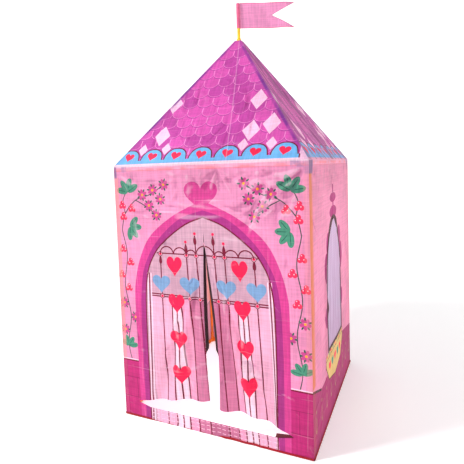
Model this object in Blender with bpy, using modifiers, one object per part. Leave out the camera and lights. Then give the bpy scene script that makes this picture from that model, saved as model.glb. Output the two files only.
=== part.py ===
"""Kids play tent: a square cloth tower with a pyramid roof over a frame of push-fit plastic tubes.

Metres, +Z up. The origin is on the floor at the middle of the tent, and the door faces -Y.
Everything on one side or at one corner is made once, for the back or for the corner at +X +Y,
and turned about the tent's middle in quarter turns for the others.
"""

import math

import bmesh
import bpy
from mathutils import Matrix, Vector

# Cloth cover
base_half = 0.5
eave_edge_half = 0.478
eave_height = 1.287
roof_top_half = 0.017
roof_top_height = 1.905
cloth_thickness = 0.001
seam_gap = 0.0004
wall_fold_depth = 0.003
roof_sag = 0.008

# Push-fit tubes, each run being a plain tube and one with a necked end
tube_radius = 0.008
tube_wall = 0.0015
neck_length = 0.04
push_fit = 0.0003

# Moulded connectors
socket_wall = 0.0025
socket_start = 0.022
socket_depth = 0.032
collar_rise = 0.0015
collar_length = 0.006
cover_clearance = 0.0004
sole_drop = 0.002
web_thickness = 0.004
web_reach = 0.034

# Roof hub and flag stick
hub_bore_start = 0.004
hub_neck_rise = 0.012
hub_flare_radius = 0.0155
hub_flare_height = 0.005
hub_flare_gap = 0.0006
stick_cap_round = 0.002
stick_rise = 0.183

# Flag
flag_length = 0.292
flag_height = 0.122
flag_notch = 0.119
flag_wave = 0.008
flag_turn = math.radians(26)
sleeve_fit = 0.0005
sleeve_wall = 0.0012

# Door: two flaps cut free along the middle and the bottom, each folding about a slanted crease
door_half = 0.4
slit_top = 0.94
slit_half = 0.0012
slot_height = 0.093
slot_half = 0.41
slot_tip_height = 0.086
threshold_half = 0.34
threshold_height = 0.069
crease_gap_wall = 0.0003
crease_gap_flap = 0.0005
crease_thin_width = 0.012
flap_tip_trim = 0.014
flap_fold_depth = 0.011
left_foot_half = 0.004
left_foot_height = 0.165
left_foot_arch = 0.006
right_foot_half = 0.047
right_foot_height = 0.13
right_foot_arch = 0.03

# Side windows, closed with sheer net
window_half = 0.2
window_sill = 0.35
window_spring = 0.62
window_top = 1.0
net_thickness = 0.0006
net_gap = 0.0004

# Tape that binds the bottom hem
tape_height = 0.009
tape_stand_out = 0.0006
floor_gap = 0.0006

# Workshop values
cut_overrun = 0.01
weld_distance = 0.00001

# Counts and other numbers that are no lengths
round_sides = 12
stick_sides = 16
flag_columns = 14
flag_rows = 4
wall_columns = 14
wall_rows = 12
roof_columns = 8
roof_rows = 7
flap_columns = 14
flap_rows = 7
arch_steps = 7
wall_folds = 2.5
flap_folds = 2.5
flag_waves = 1.5
crease_thin_share = 0.2
arm_root_share = 0.2
fold_fade_share = 0.33
level_share = 0.000001
smooth_angle = math.radians(35)

CORNERS = ("back_right", "back_left", "front_left", "front_right")
SIDES = ("back", "left", "front", "right")
FRONT = SIDES.index("front")

# Radii that follow from the tube
socket_radius = tube_radius + push_fit
arm_radius = socket_radius + socket_wall
collar_radius = arm_radius + collar_rise
arm_length = socket_start + socket_depth
seam_inset = cloth_thickness + seam_gap
stick_top_height = roof_top_height + stick_rise


class Panel:
    """The flat trapezoid of one side. u runs to the right seen from outside, and height up."""

    def __init__(self, low_half, low_height, high_half, high_height):
        self.low_half = low_half
        self.low_height = low_height
        self.high_half = high_half
        self.high_height = high_height
        run = low_half - high_half
        rise = high_height - low_height
        slant = math.hypot(run, rise)
        self.lean = run / rise
        self.normal = Vector((0, rise / slant, run / slant))

    def half(self, height):
        return self.low_half - self.lean * (height - self.low_height)

    def share(self, height):
        return (height - self.low_height) / (self.high_height - self.low_height)

    def point(self, u, height, out=0):
        return Vector((-u, self.half(height), height)) + self.normal * out

    def inset_half(self, inset):
        """How far in, level, a line lies that keeps this distance behind the panel."""
        return inset / self.normal.y


wall_panel = Panel(base_half, 0, eave_edge_half, eave_height)
roof_panel = Panel(eave_edge_half, eave_height, roof_top_half, roof_top_height)

# The frame's axes lie this far behind the cover's outer face, so that the collars just clear the cloth
frame_inset = cloth_thickness + cover_clearance + collar_radius
foot_height = collar_radius + sole_drop
foot_half = wall_panel.half(foot_height) - wall_panel.inset_half(frame_inset)


def eave_node():
    """(half, height) of the eave connectors: the same distance behind the wall and behind the roof."""
    wall_inset = wall_panel.inset_half(frame_inset)
    out, up = roof_panel.normal.y, roof_panel.normal.z
    level_gap = wall_panel.high_half - wall_panel.low_half + wall_inset
    height = (out * level_gap + up * eave_height - frame_inset) / (up - out * wall_panel.lean)
    return wall_panel.half(height) - wall_inset, height


eave_half, eave_node_height = eave_node()
hub_height = eave_node_height + eave_half / roof_panel.lean
foot_node = Vector((foot_half, foot_half, foot_height))
eave_corner_node = Vector((eave_half, eave_half, eave_node_height))
hub_node = Vector((0, 0, hub_height))


def clear_scene():
    for obj in list(bpy.data.objects):
        bpy.data.objects.remove(obj, do_unlink=True)


def collection(name):
    made = bpy.data.collections.new(name)
    bpy.context.scene.collection.children.link(made)
    return made


def material(name, colour, roughness, metallic=0, alpha=1):
    made = bpy.data.materials.new(name)
    made.use_nodes = True
    shader = made.node_tree.nodes["Principled BSDF"]
    shader.inputs["Base Color"].default_value = (*colour, 1)
    shader.inputs["Roughness"].default_value = roughness
    shader.inputs["Metallic"].default_value = metallic
    shader.inputs["Alpha"].default_value = alpha
    made.diffuse_color = (*colour, 1)
    return made


clear_scene()
tent = collection("play_tent")
cutters = collection("cutters")

orange_tube = material("orange_tube", (0.95, 0.33, 0.04), 0.4)
blue_plastic = material("blue_plastic", (0.25, 0.3, 0.55), 0.4)
yellow_plastic = material("yellow_plastic", (0.95, 0.68, 0.03), 0.35)
wall_cloth = material("wall_cloth", (0.87, 0.36, 0.5), 0.75)
roof_cloth = material("roof_cloth", (0.68, 0.06, 0.42), 0.7)
door_cloth = material("door_cloth", (0.86, 0.42, 0.58), 0.75)
window_net = material("window_net", (0.85, 0.76, 0.88), 0.8, alpha=0.7)
red_tape = material("red_tape", (0.55, 0.01, 0.03), 0.7)
flag_cloth = material("flag_cloth", (0.9, 0.38, 0.6), 0.7)


def add(name, mesh, look=None, where=None, home=None):
    obj = bpy.data.objects.new(name, mesh)
    (home or tent).objects.link(obj)
    if where is not None:
        obj.matrix_world = where
    if look is not None and not mesh.materials:
        mesh.materials.append(look)
    return obj


def helper(name, mesh, home=None):
    obj = add(name, mesh, home=home or cutters)
    obj.hide_render = True
    obj.display_type = "WIRE"
    return obj


def quarter_turn(index):
    return Matrix.Rotation(index * math.pi / 2, 4, "Z")


def along(direction):
    """A turn that stands +Z along the direction, with local X level, so that facets of aligned pieces match."""
    up = direction.normalized()
    level = Vector((0, 0, 1)).cross(up)
    side = level.normalized() if level.length > level_share else Vector((1, 0, 0))
    return Matrix((side, up.cross(side), up)).transposed().to_4x4()


def baked(obj):
    """The object's evaluated mesh; the object itself is removed."""
    bpy.context.view_layer.update()
    graph = bpy.context.evaluated_depsgraph_get()
    mesh = bpy.data.meshes.new_from_object(obj.evaluated_get(graph))
    mesh.transform(obj.matrix_world)
    bpy.data.objects.remove(obj, do_unlink=True)
    return mesh


def screw(obj, sides):
    turned = obj.modifiers.new("turn", "SCREW")
    turned.steps = sides
    turned.render_steps = sides
    turned.use_merge_vertices = True
    turned.merge_threshold = weld_distance
    turned.use_smooth_shade = False
    return obj


def profile_mesh(name, points, closed):
    """A profile in the XZ plane: (radius, height) points that run down the outer side."""
    mesh = bpy.data.meshes.new(name)
    edges = [(i, i + 1) for i in range(len(points) - 1)]
    if closed:
        edges.append((len(points) - 1, 0))
    mesh.from_pydata([(radius, 0, height) for radius, height in points], edges, [])
    return mesh


def boolean(obj, other, operation):
    cut = obj.modifiers.new(operation.lower(), "BOOLEAN")
    cut.operation = operation
    cut.solver = "EXACT"
    cut.object = other
    return obj


def smooth(mesh):
    mesh.shade_smooth()
    mesh.set_sharp_from_angle(angle=smooth_angle)
    return mesh


def plate(name, outline, half_depth, where):
    """A flat plate, or a prism, from an outline of (x, y) points that runs round anticlockwise."""
    drawing = bpy.data.curves.new(name, "CURVE")
    drawing.dimensions = "2D"
    drawing.fill_mode = "BOTH"
    drawing.extrude = half_depth
    spline = drawing.splines.new("POLY")
    spline.points.add(len(outline) - 1)
    for point, (x, y) in zip(spline.points, outline):
        point.co = (x, y, 0, 1)
    spline.use_cyclic_u = True
    mesh = baked(add(name, drawing, where=where))
    welded = bmesh.new()
    welded.from_mesh(mesh)
    bmesh.ops.remove_doubles(welded, verts=welded.verts, dist=weld_distance)
    bmesh.ops.recalc_face_normals(welded, faces=welded.faces)
    welded.to_mesh(mesh)
    welded.free()
    return mesh


# Tubes

def plain_tube(name, length):
    bore = tube_radius - tube_wall
    outline = [(tube_radius, length), (tube_radius, 0), (bore, 0), (bore, length)]
    return profile_mesh(name, outline, closed=True)


def necked_tube(name, length):
    """Its end at the top is necked down, to push into a plain tube."""
    bore = tube_radius - tube_wall
    neck = bore - push_fit
    neck_bore = neck - tube_wall
    outline = [
        (neck, length + neck_length),
        (neck, length),
        (tube_radius, length),
        (tube_radius, 0),
        (bore, 0),
        (bore, length - tube_wall),
        (neck_bore, length),
        (neck_bore, length + neck_length),
    ]
    return profile_mesh(name, outline, closed=True)


def tube_run(start, end, names, look, turns):
    """A plain and a necked tube between two connector centres, and a copy for each quarter turn."""
    direction = (end - start).normalized()
    seat = socket_start + push_fit
    length = (end - start).length / 2 - seat
    first_mesh = smooth(baked(screw(add("draft", plain_tube(names[0], length)), round_sides)))
    second_mesh = smooth(baked(screw(add("draft", necked_tube(names[1], length - push_fit)), round_sides)))
    first_place = Matrix.Translation(start + direction * seat) @ along(direction)
    second_place = Matrix.Translation(end - direction * seat) @ along(-direction)
    for index in turns:
        for mesh, place, name in ((first_mesh, first_place, names[0]), (second_mesh, second_place, names[1])):
            owner = CORNERS[index] if "{corner}" in name else SIDES[index]
            label = name.replace("{corner}", owner).replace("{side}", owner)
            add(label, mesh, look, quarter_turn(index) @ place)


# Connectors

def arm(direction, phase):
    """A solid socket arm with a collar at its mouth, rooted in the connector's core, along a direction."""
    root = collar_radius * arm_root_share
    outline = [
        (0, arm_length),
        (collar_radius, arm_length),
        (collar_radius, arm_length - collar_length),
        (arm_radius, arm_length - collar_length),
        (arm_radius, root),
        (0, root),
    ]
    place = along(direction) @ Matrix.Rotation(phase, 4, "Z")
    solid = add("arm", profile_mesh("arm", outline, closed=False), where=place)
    return baked(screw(solid, round_sides))


def bore(direction, start, end, sides):
    """Its facets line up with those of the tube that it takes."""
    outline = [(0, end), (socket_radius, end), (socket_radius, start), (0, start)]
    solid = add("bore", profile_mesh("bore", outline, closed=False), where=along(direction))
    return baked(screw(solid, sides))


def ball(radius):
    mesh = bpy.data.meshes.new("ball")
    shape = bmesh.new()
    bmesh.ops.create_uvsphere(shape, u_segments=round_sides, v_segments=round_sides // 2, radius=radius)
    shape.to_mesh(mesh)
    shape.free()
    return mesh


def web(first, second):
    """A moulded gusset between two arms: a thin triangular plate in their plane."""
    square = first.cross(second).normalized()
    across = square.cross(first)
    axes = Matrix((first, across, square)).transposed().to_4x4()
    tip = second * web_reach
    outline = [(0, 0), (web_reach, 0), (tip.dot(first), tip.dot(across))]
    return plate("web", outline, web_thickness / 2, axes)


def joined(base, additions, removals):
    """One mesh: base with the additions united, all in one step, and then the removals cut out."""
    obj = add("joined", base)
    groups = []
    for operation, meshes in (("UNION", additions), ("DIFFERENCE", removals)):
        if not meshes:
            continue
        group = bpy.data.collections.new(operation.lower())
        cutters.children.link(group)
        groups.append(group)
        for mesh in meshes:
            helper("operand", mesh, group)
        cut = obj.modifiers.new(operation.lower(), "BOOLEAN")
        cut.operation = operation
        cut.solver = "EXACT"
        cut.operand_type = "COLLECTION"
        cut.collection = group
    mesh = baked(obj)
    for group in groups:
        for other in list(group.objects):
            bpy.data.objects.remove(other, do_unlink=True)
        bpy.data.collections.remove(group)
    return smooth(mesh)


def connector(arms, webs=(), extras=(), extra_bores=()):
    facet = 2 * math.pi / round_sides
    additions = [arm(direction, facet * index / len(arms)) for index, direction in enumerate(arms)]
    additions += [web(first, second) for first, second in webs]
    cut_end = arm_length + cut_overrun
    bores = [bore(direction, socket_start, cut_end, round_sides) for direction in arms]
    return joined(ball(collar_radius), additions + list(extras), bores + list(extra_bores))


BACKWARD_X = Vector((-1, 0, 0))
BACKWARD_Y = Vector((0, -1, 0))
UP = Vector((0, 0, 1))
post_up = (eave_corner_node - foot_node).normalized()
rafter_up = (hub_node - eave_corner_node).normalized()


def eave_connectors():
    webs = ((BACKWARD_X, -post_up), (BACKWARD_Y, -post_up))
    mesh = connector((BACKWARD_X, BACKWARD_Y, -post_up, rafter_up), webs)
    for index, corner in enumerate(CORNERS):
        where = quarter_turn(index) @ Matrix.Translation(eave_corner_node)
        add(f"{corner}_eave_connector", mesh, blue_plastic, where)


def sole():
    """The round foot under a base connector, flat on the floor."""
    outline = [(0, 0), (collar_radius, 0), (collar_radius, -foot_height), (0, -foot_height)]
    return baked(screw(add("sole", profile_mesh("sole", outline, closed=False)), round_sides))


def foot_connectors():
    """No rail crosses the door, so each front foot has no socket on that side."""
    for index, corner in enumerate(CORNERS):
        rails = [BACKWARD_X, BACKWARD_Y]
        if corner == "front_left":
            rails.remove(BACKWARD_X)
        if corner == "front_right":
            rails.remove(BACKWARD_Y)
        webs = [(rail, post_up) for rail in rails]
        mesh = connector([*rails, post_up], webs, extras=[sole()])
        where = quarter_turn(index) @ Matrix.Translation(foot_node)
        add(f"{corner}_foot_connector", mesh, orange_tube, where)


def roof_hub():
    arms = [quarter_turn(index).to_3x3() @ -rafter_up for index in range(len(CORNERS))]
    neck_top = roof_top_height + hub_neck_rise - hub_height
    flare_foot = roof_top_height + hub_flare_gap - hub_height
    outline = [
        (0, neck_top),
        (arm_radius, neck_top),
        (arm_radius, flare_foot + hub_flare_height),
        (hub_flare_radius, flare_foot),
        (arm_radius, flare_foot),
        (arm_radius, 0),
        (0, 0),
    ]
    neck = baked(screw(add("neck", profile_mesh("neck", outline, closed=False)), stick_sides))
    stick_bore = bore(UP, hub_bore_start, neck_top + cut_overrun, stick_sides)
    mesh = connector(arms, extras=[neck], extra_bores=[stick_bore])
    add("roof_hub", mesh, yellow_plastic, Matrix.Translation(hub_node))


def frame():
    eave_end = Vector((-eave_half, eave_half, eave_node_height))
    base_end = Vector((-foot_half, foot_half, foot_height))
    every_turn = range(len(SIDES))
    base_turns = [index for index in every_turn if index != FRONT]
    tube_run(foot_node, eave_corner_node, ("{corner}_post_lower", "{corner}_post_upper"), orange_tube, every_turn)
    tube_run(foot_node, base_end, ("{side}_base_rail_a", "{side}_base_rail_b"), orange_tube, base_turns)
    tube_run(eave_corner_node, eave_end, ("{side}_eave_rail_a", "{side}_eave_rail_b"), orange_tube, every_turn)
    tube_run(eave_corner_node, hub_node, ("{corner}_rafter_lower", "{corner}_rafter_upper"), blue_plastic, every_turn)
    eave_connectors()
    foot_connectors()
    roof_hub()


# Cloth

def sheet(name, columns, rows, place, thickness=cloth_thickness):
    """A unit grid that place(across share, up share) bends, thickened inwards. Its faces look outwards."""
    mesh = bpy.data.meshes.new(name)
    shape = bmesh.new()
    half_share = 0.5
    bmesh.ops.create_grid(shape, x_segments=columns, y_segments=rows, size=half_share)
    for vertex in shape.verts:
        vertex.co = place(vertex.co.x + half_share, vertex.co.y + half_share)
    shape.to_mesh(mesh)
    shape.free()
    mesh.shade_smooth()
    obj = add(name, mesh)
    thick = obj.modifiers.new("cloth", "SOLIDIFY")
    thick.thickness = thickness
    thick.offset = -1
    thick.use_even_offset = True
    return obj


def between(low, high, share):
    return low + (high - low) * share


def eased(share):
    held = min(max(share, 0), 1)
    return held * held * (3 - 2 * held)


def wall_fold(u, height):
    """Shallow upright folds that die out at the seams, the eave and the hem."""
    edge = 1 - (u / wall_panel.half(height)) ** 2
    swell = math.sin(math.pi * wall_panel.share(height)) ** 2
    wave = math.sin(math.pi * wall_folds * u / base_half + 2 * wall_panel.share(height))
    return wall_fold_depth * edge * swell * wave


def front_fold(u, height):
    """As the other walls, but only above the door, whose creases have to stay straight."""
    above_share = (height - slit_top) / (eave_height - slit_top)
    return wall_fold(u, height) * eased(above_share / fold_fade_share)


def wall_sheet(name, fold, columns=wall_columns, rows=wall_rows):
    low = tape_height + seam_gap
    high = eave_height - seam_inset

    def place(across, up):
        height = between(low, high, up)
        edge = wall_panel.half(height) - seam_inset
        u = between(-edge, edge, across)
        return wall_panel.point(u, height, fold(u, height))

    return sheet(name, columns, rows, place)


def wall_cutter(name, outline):
    """A prism through the wall, from an outline of (u, height) points that runs round anticlockwise from outside."""
    up_wall = Vector((0, -wall_panel.normal.z, wall_panel.normal.y))
    to_right = Vector((-1, 0, 0))
    axes = Matrix((to_right, up_wall, to_right.cross(up_wall))).transposed().to_4x4()
    where = Matrix.Translation(wall_panel.point(0, 0)) @ axes
    drawn = [(u, height / wall_panel.normal.y) for u, height in outline]
    return helper(name, plate(name, drawn, cut_overrun, where))


def lancet(inset=0):
    """A pointed arch on upright jambs. Each side is an arc that leaves the jamb upright and meets the other on top."""
    half = window_half - inset
    rise = window_top - window_spring - inset
    radius = (half * half + rise * rise) / (2 * half)
    sweep = math.asin(rise / radius)
    arc = [
        (half - radius + radius * math.cos(sweep * step / arch_steps),
         window_spring + radius * math.sin(sweep * step / arch_steps))
        for step in range(arch_steps + 1)
    ]
    right = [(half, window_sill + inset), *arc]
    left = [(-u, height) for u, height in reversed(right[:-1])]
    return right + left


def side_wall(index):
    side = SIDES[index]
    wall = wall_sheet(f"{side}_wall", wall_fold)
    boolean(wall, wall_cutter(f"{side}_window_cutter", lancet()), "DIFFERENCE")
    add(f"{side}_wall", baked(wall), wall_cloth, quarter_turn(index))


def window_sheet(index):
    """The net fills the window in the wall's own surface, so it is cut from a sheet that folds as the wall does."""
    side = SIDES[index]
    reach = window_half + seam_inset

    def place(across, up):
        u = between(-reach, reach, across)
        height = between(window_sill - seam_inset, window_top + seam_inset, up)
        return wall_panel.point(u, height, wall_fold(u, height))

    net = sheet(f"{side}_window_net", wall_columns // 2, wall_rows // 2, place, net_thickness)
    boolean(net, wall_cutter(f"{side}_net_cutter", lancet(net_gap)), "INTERSECT")
    add(f"{side}_window_net", baked(net), window_net, quarter_turn(index))


def crease_shift(gap):
    """How far a crease moves level, away from the flap if positive, to leave a gap square to itself."""
    run, rise = door_half, slit_top - slot_height
    return gap * math.hypot(run, rise) / rise


def crease_u(height):
    return door_half * (slit_top - height) / (slit_top - slot_height)


def front_wall():
    wall = wall_sheet("front_wall", front_fold)
    shift = crease_shift(crease_gap_wall)
    right = [
        (threshold_half, threshold_height),
        (slot_half, slot_tip_height),
        (door_half + shift, slot_height),
        (shift, slit_top),
    ]
    outline = right + [(-u, height) for u, height in reversed(right)]
    boolean(wall, wall_cutter("door_cutter", outline), "DIFFERENCE")
    add("front_wall", baked(wall), wall_cloth, quarter_turn(FRONT))


def flap(name, hand, foot_half, foot_height, foot_arch):
    """One door flap, seen from outside. hand is 1 for the right one and -1 for the left one.

    It hangs plumb under its crease, and its outer face holds the crease's line, about which it folds.
    foot_half and foot_height say where its inner corner hangs, and foot_arch how far its lower edge bows up.
    """
    top_height = slit_top - flap_tip_trim
    shift = crease_shift(crease_gap_flap)
    top_depth = wall_panel.half(slit_top)
    foot_depth = wall_panel.half(slot_height)

    def place(across, up):
        spread = 1 - up
        inner_u = between(slit_half, foot_half, math.sin(math.pi / 2 * spread))
        inner_height = between(foot_height, top_height, up)
        outer_height = between(slot_height + crease_gap_flap, top_height, up)
        outer_u = crease_u(outer_height) - shift
        u = between(inner_u, outer_u, across)
        bow = foot_arch * math.sin(math.pi * across) * spread
        height = between(inner_height, outer_height, across) + bow
        u = min(u, crease_u(height) - shift)
        wave = math.sin(2 * math.pi * flap_folds * across) * eased((1 - across) / fold_fade_share)
        depth = between(top_depth, foot_depth, u / door_half) + flap_fold_depth * spread * wave
        return Vector((-hand * u, depth, height))

    obj = sheet(name, flap_columns, flap_rows, place)
    if hand < 0:
        obj.data.flip_normals()
    thin = obj.vertex_groups.new(name="crease")
    for vertex in obj.data.vertices:
        from_crease = crease_u(vertex.co.z) - abs(vertex.co.x)
        thin.add([vertex.index], eased(from_crease / crease_thin_width), "REPLACE")
    thick = obj.modifiers["cloth"]
    thick.vertex_group = thin.name
    thick.thickness_vertex_group = crease_thin_share
    mesh = baked(obj)
    mesh.materials.append(door_cloth)
    pivot = bpy.data.objects.new(f"{name}_crease", None)
    tent.objects.link(pivot)
    pivot.matrix_world = quarter_turn(FRONT) @ Matrix.Translation(Vector((0, top_depth, slit_top)))
    hung = add(name, mesh)
    hung.parent = pivot
    hung.matrix_parent_inverse = Matrix.Translation(Vector((0, -top_depth, -slit_top)))


def back_wall():
    wall = wall_sheet("back_wall", wall_fold)
    add("back_wall", baked(wall), wall_cloth, quarter_turn(0))


def roof_gores():
    """Four triangles of cloth, open at the top round the hub's neck, that sag a little between the rafters."""

    def place(across, up):
        height = between(eave_height, roof_top_height, up)
        edge = roof_panel.half(height) - seam_inset
        u = between(-edge, edge, across)
        sag = roof_sag * (1 - (u / edge) ** 2) * math.sin(math.pi * up) ** 2
        return roof_panel.point(u, height, -sag)

    mesh = baked(sheet("roof_gore", roof_columns, roof_rows, place))
    for index, side in enumerate(SIDES):
        add(f"{side}_roof_gore", mesh, roof_cloth, quarter_turn(index))


def hem_tapes():
    """A doubled tape under each wall, its inner face in line with the wall's, standing a little proud outside."""
    top = tape_height

    def place(across, up):
        height = between(floor_gap, top, up)
        edge = wall_panel.half(height) - seam_inset
        return wall_panel.point(between(-edge, edge, across), height, tape_stand_out)

    mesh = baked(sheet("hem_tape", 1, 1, place, cloth_thickness + tape_stand_out))
    for index, side in enumerate(SIDES):
        add(f"{side}_hem_tape", mesh, red_tape, quarter_turn(index))


def cover():
    roof_gores()
    back_wall()
    front_wall()
    for index, side in enumerate(SIDES):
        if side in ("left", "right"):
            side_wall(index)
            window_sheet(index)
    flap("door_flap_right", 1, right_foot_half, right_foot_height, right_foot_arch)
    flap("door_flap_left", -1, left_foot_half, left_foot_height, left_foot_arch)
    hem_tapes()


# Flag

def flag_stick():
    foot = hub_height + hub_bore_start + push_fit
    bore_radius = tube_radius - tube_wall
    outline = [
        (0, stick_top_height),
        (tube_radius - stick_cap_round, stick_top_height),
        (tube_radius, stick_top_height - stick_cap_round),
        (tube_radius, foot),
        (bore_radius, foot),
        (bore_radius, stick_top_height - tube_wall - stick_cap_round),
        (0, stick_top_height - tube_wall - stick_cap_round),
    ]
    mesh = smooth(baked(screw(add("draft", profile_mesh("flag_stick", outline, closed=False)), stick_sides)))
    add("flag_stick", mesh, yellow_plastic)


def flag_sleeve():
    """The pocket sewn along the flag's edge, closed on top, that hangs on the stick's tip."""
    inner = tube_radius + sleeve_fit
    outer = inner + sleeve_wall
    ceiling = stick_top_height + push_fit
    foot = ceiling + sleeve_wall - flag_height
    outline = [
        (0, ceiling + sleeve_wall),
        (inner, ceiling + sleeve_wall),
        (outer, ceiling),
        (outer, foot),
        (inner, foot),
        (inner, ceiling),
        (0, ceiling),
    ]
    return baked(screw(add("sleeve", profile_mesh("sleeve", outline, closed=False)), stick_sides))


def flag():
    """A swallow-tailed flag, waving as cloth does, that turns round the stick."""
    start = tube_radius + sleeve_fit + sleeve_wall / 2
    foot = stick_top_height + push_fit + sleeve_wall - flag_height

    def place(across, up):
        cut = flag_notch * (1 - abs(2 * up - 1))
        x = between(start, flag_length - cut, across)
        wave = flag_wave * across * math.sin(2 * math.pi * flag_waves * across + up)
        return Vector((x, -wave, between(foot, foot + flag_height, up)))

    sheet_mesh = baked(sheet("flag", flag_columns, flag_rows, place))
    mesh = joined(flag_sleeve(), [sheet_mesh], [])
    pivot = bpy.data.objects.new("flag_pivot", None)
    tent.objects.link(pivot)
    pivot.matrix_world = Matrix.Rotation(flag_turn, 4, "Z")
    hung = add("flag", mesh, flag_cloth)
    hung.parent = pivot


frame()
cover()
flag_stick()
flag()
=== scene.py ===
"""Looks of the kids play tent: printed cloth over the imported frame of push-fit tubes.

Metres, +Z up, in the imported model's frame. The origin is on the floor at the middle of the tent, and the
door faces -Y. Each panel of the cover is drawn flat, as seen from outside, as a stack of printed shapes.
It is cut into triangles along their outlines, and then bent into its place with its folds and wrinkles.
"""

import math
import random

import bpy
import numpy as np
from mathutils import Matrix, Vector, geometry, kdtree


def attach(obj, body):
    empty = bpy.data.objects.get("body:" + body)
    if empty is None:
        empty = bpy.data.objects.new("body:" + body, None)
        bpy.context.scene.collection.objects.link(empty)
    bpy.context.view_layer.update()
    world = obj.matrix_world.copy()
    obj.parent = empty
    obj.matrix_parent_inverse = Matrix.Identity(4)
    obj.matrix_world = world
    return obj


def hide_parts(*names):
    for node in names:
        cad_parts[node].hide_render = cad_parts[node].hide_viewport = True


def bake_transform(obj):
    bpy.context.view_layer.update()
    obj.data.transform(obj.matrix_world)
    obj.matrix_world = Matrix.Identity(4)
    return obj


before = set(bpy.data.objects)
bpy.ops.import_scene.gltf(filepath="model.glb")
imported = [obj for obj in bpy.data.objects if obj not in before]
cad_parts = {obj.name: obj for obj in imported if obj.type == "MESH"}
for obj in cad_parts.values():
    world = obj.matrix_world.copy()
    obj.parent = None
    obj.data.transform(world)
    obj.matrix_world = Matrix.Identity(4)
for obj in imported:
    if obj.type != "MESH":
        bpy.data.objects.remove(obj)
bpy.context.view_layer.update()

# Cloth cover, as in the model's own source
base_half = 0.5
eave_edge_half = 0.478
eave_height = 1.287
roof_top_half = 0.017
roof_top_height = 1.905
wall_fold_depth = 0.003
roof_sag = 0.008

# Door, as in the model's own source
door_half = 0.4
slit_top = 0.94
slit_half = 0.0012
slot_height = 0.093
slot_half = 0.41
slot_tip_height = 0.086
threshold_half = 0.34
threshold_height = 0.069
flap_fold_depth = 0.011
left_foot_half = 0.004
left_foot_height = 0.165
left_foot_arch = 0.006
right_foot_half = 0.047
right_foot_height = 0.13
right_foot_arch = 0.03

# Side windows
window_half = 0.2
window_sill = 0.35
window_spring = 0.62
window_top = 1.0
net_inset = 0.0005

# Flag and stick
stick_top_height = 2.088
flag_length = 0.292
flag_height = 0.122
flag_notch = 0.119
flag_wave = 0.008
flag_turn = math.radians(26)
sleeve_radius = 0.0092
sleeve_cap = 0.0015

# Colours, as they look in even light, in shares of red, green and blue
wall_pink = (0.90, 0.58, 0.735)
side_wall_pink = (0.90, 0.56, 0.69)
leaf_pink = (0.78, 0.615, 0.69)
# The gate's panels, stepped from the lightest by the jambs to the darkest by the flaps' free edges, as
# painted shade on the flaps
panel_light = (0.93, 0.68, 0.79)
panel_pink = (0.93, 0.62, 0.75)
panel_shade_rose = (0.80, 0.47, 0.61)
panel_shade_mauve = (0.74, 0.42, 0.56)
pale_pink = (0.98, 0.83, 0.90)
band_pink = (0.95, 0.67, 0.79)
band_seam = (0.93, 0.50, 0.60)
base_magenta = (0.74, 0.14, 0.455)
side_base_magenta = (0.66, 0.12, 0.41)
frame_magenta = (0.66, 0.12, 0.44)
base_tan = (0.66, 0.47, 0.40)
base_line = (0.60, 0.08, 0.35)
arch_outer = (0.82, 0.25, 0.56)
arch_inner = (0.64, 0.18, 0.50)
maroon = (0.45, 0.04, 0.18)
frame_edge = (0.27, 0.0, 0.08)
# Near black of the dark inside seen through the door's slit, painted down the slit's top and on the flaps'
# facings
inside_shade_maroon = (0.16, 0.01, 0.05)
# Dark brown of the strip behind the slot's right end, painted shade of the inside seen there
slot_shade_brown = (0.36, 0.10, 0.14)
heart_red = (0.96, 0.10, 0.31)
heart_blue = (0.47, 0.63, 0.79)
leaf_green = (0.28, 0.58, 0.47)
vein_green = (0.12, 0.36, 0.30)
stem_grey = (0.25, 0.30, 0.28)
petal_magenta = (0.80, 0.29, 0.57)
flower_yellow = (0.99, 0.70, 0.15)
berry_red = (0.95, 0.20, 0.36)
tile_light = (0.84, 0.32, 0.69)
tile_dark = (0.745, 0.255, 0.63)
tile_shade = (0.71, 0.235, 0.605)
tile_line = (0.94, 0.55, 0.82)
# Pale pink of the painted glints on the roof
tile_glint_pale = (0.99, 0.78, 0.90)
scallop_blue = (0.42, 0.71, 0.93)
sill_gold = (0.87, 0.76, 0.46)
sill_brown = (0.45, 0.20, 0.18)
net_lilac = (0.765, 0.735, 0.83)
net_shade = (0.69, 0.635, 0.745)
flag_pink = (0.95, 0.60, 0.78)
flag_edge = (0.90, 0.32, 0.50)
flag_sleeve_pink = (0.94, 0.45, 0.62)
notch_edge = (0.75, 0.20, 0.35)
tape_red = (0.62, 0.02, 0.11)
post_face_tint = (1.0, 0.63, 0.59)
post_side_tint = (0.88, 0.50, 0.27)
connector_tint = (0.45, 0.38, 0.55)
arm_tint = (0.62, 0.52, 0.70)
rail_tint = (0.98, 0.47, 0.44)
# Dark violet of the rafters painted where they show through the roof, and of the painted shade on the roof's
# long fold
rafter_tint = (0.43, 0.16, 0.55)
# Painted shade and painted highlight of the long folds down the roof's side panels
slope_shade_violet = (0.58, 0.17, 0.47)
slope_highlight_pale = (0.97, 0.62, 0.84)
# White of the painted highlights on crumples, wrinkles and the roof's fold, and of the pale fold lines, the
# print's paler back and scuffs on plastic
highlight_and_pale_white = (1.0, 0.93, 0.97)
hollow_shade = (0.78, 0.66, 0.76)
tube_orange = (0.97, 0.50, 0.03)
plastic_blue = (0.30, 0.36, 0.62)
plastic_yellow = (1.0, 0.80, 0.03)
floor_white = (0.97, 0.97, 0.97)
floor_bright = (0.985, 0.985, 0.985)
white = (1, 1, 1, 1)

SIDES = ("back", "left", "front", "right")
front_index = SIDES.index("front")
PANEL_MAP = "panel"
PRINT = "print"
RELIEF = "relief"

# Mesh spacing
cloth_step = 0.009
print_step = 0.012
step_clearance = 0.0032
normal_reach = 0.002

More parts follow.
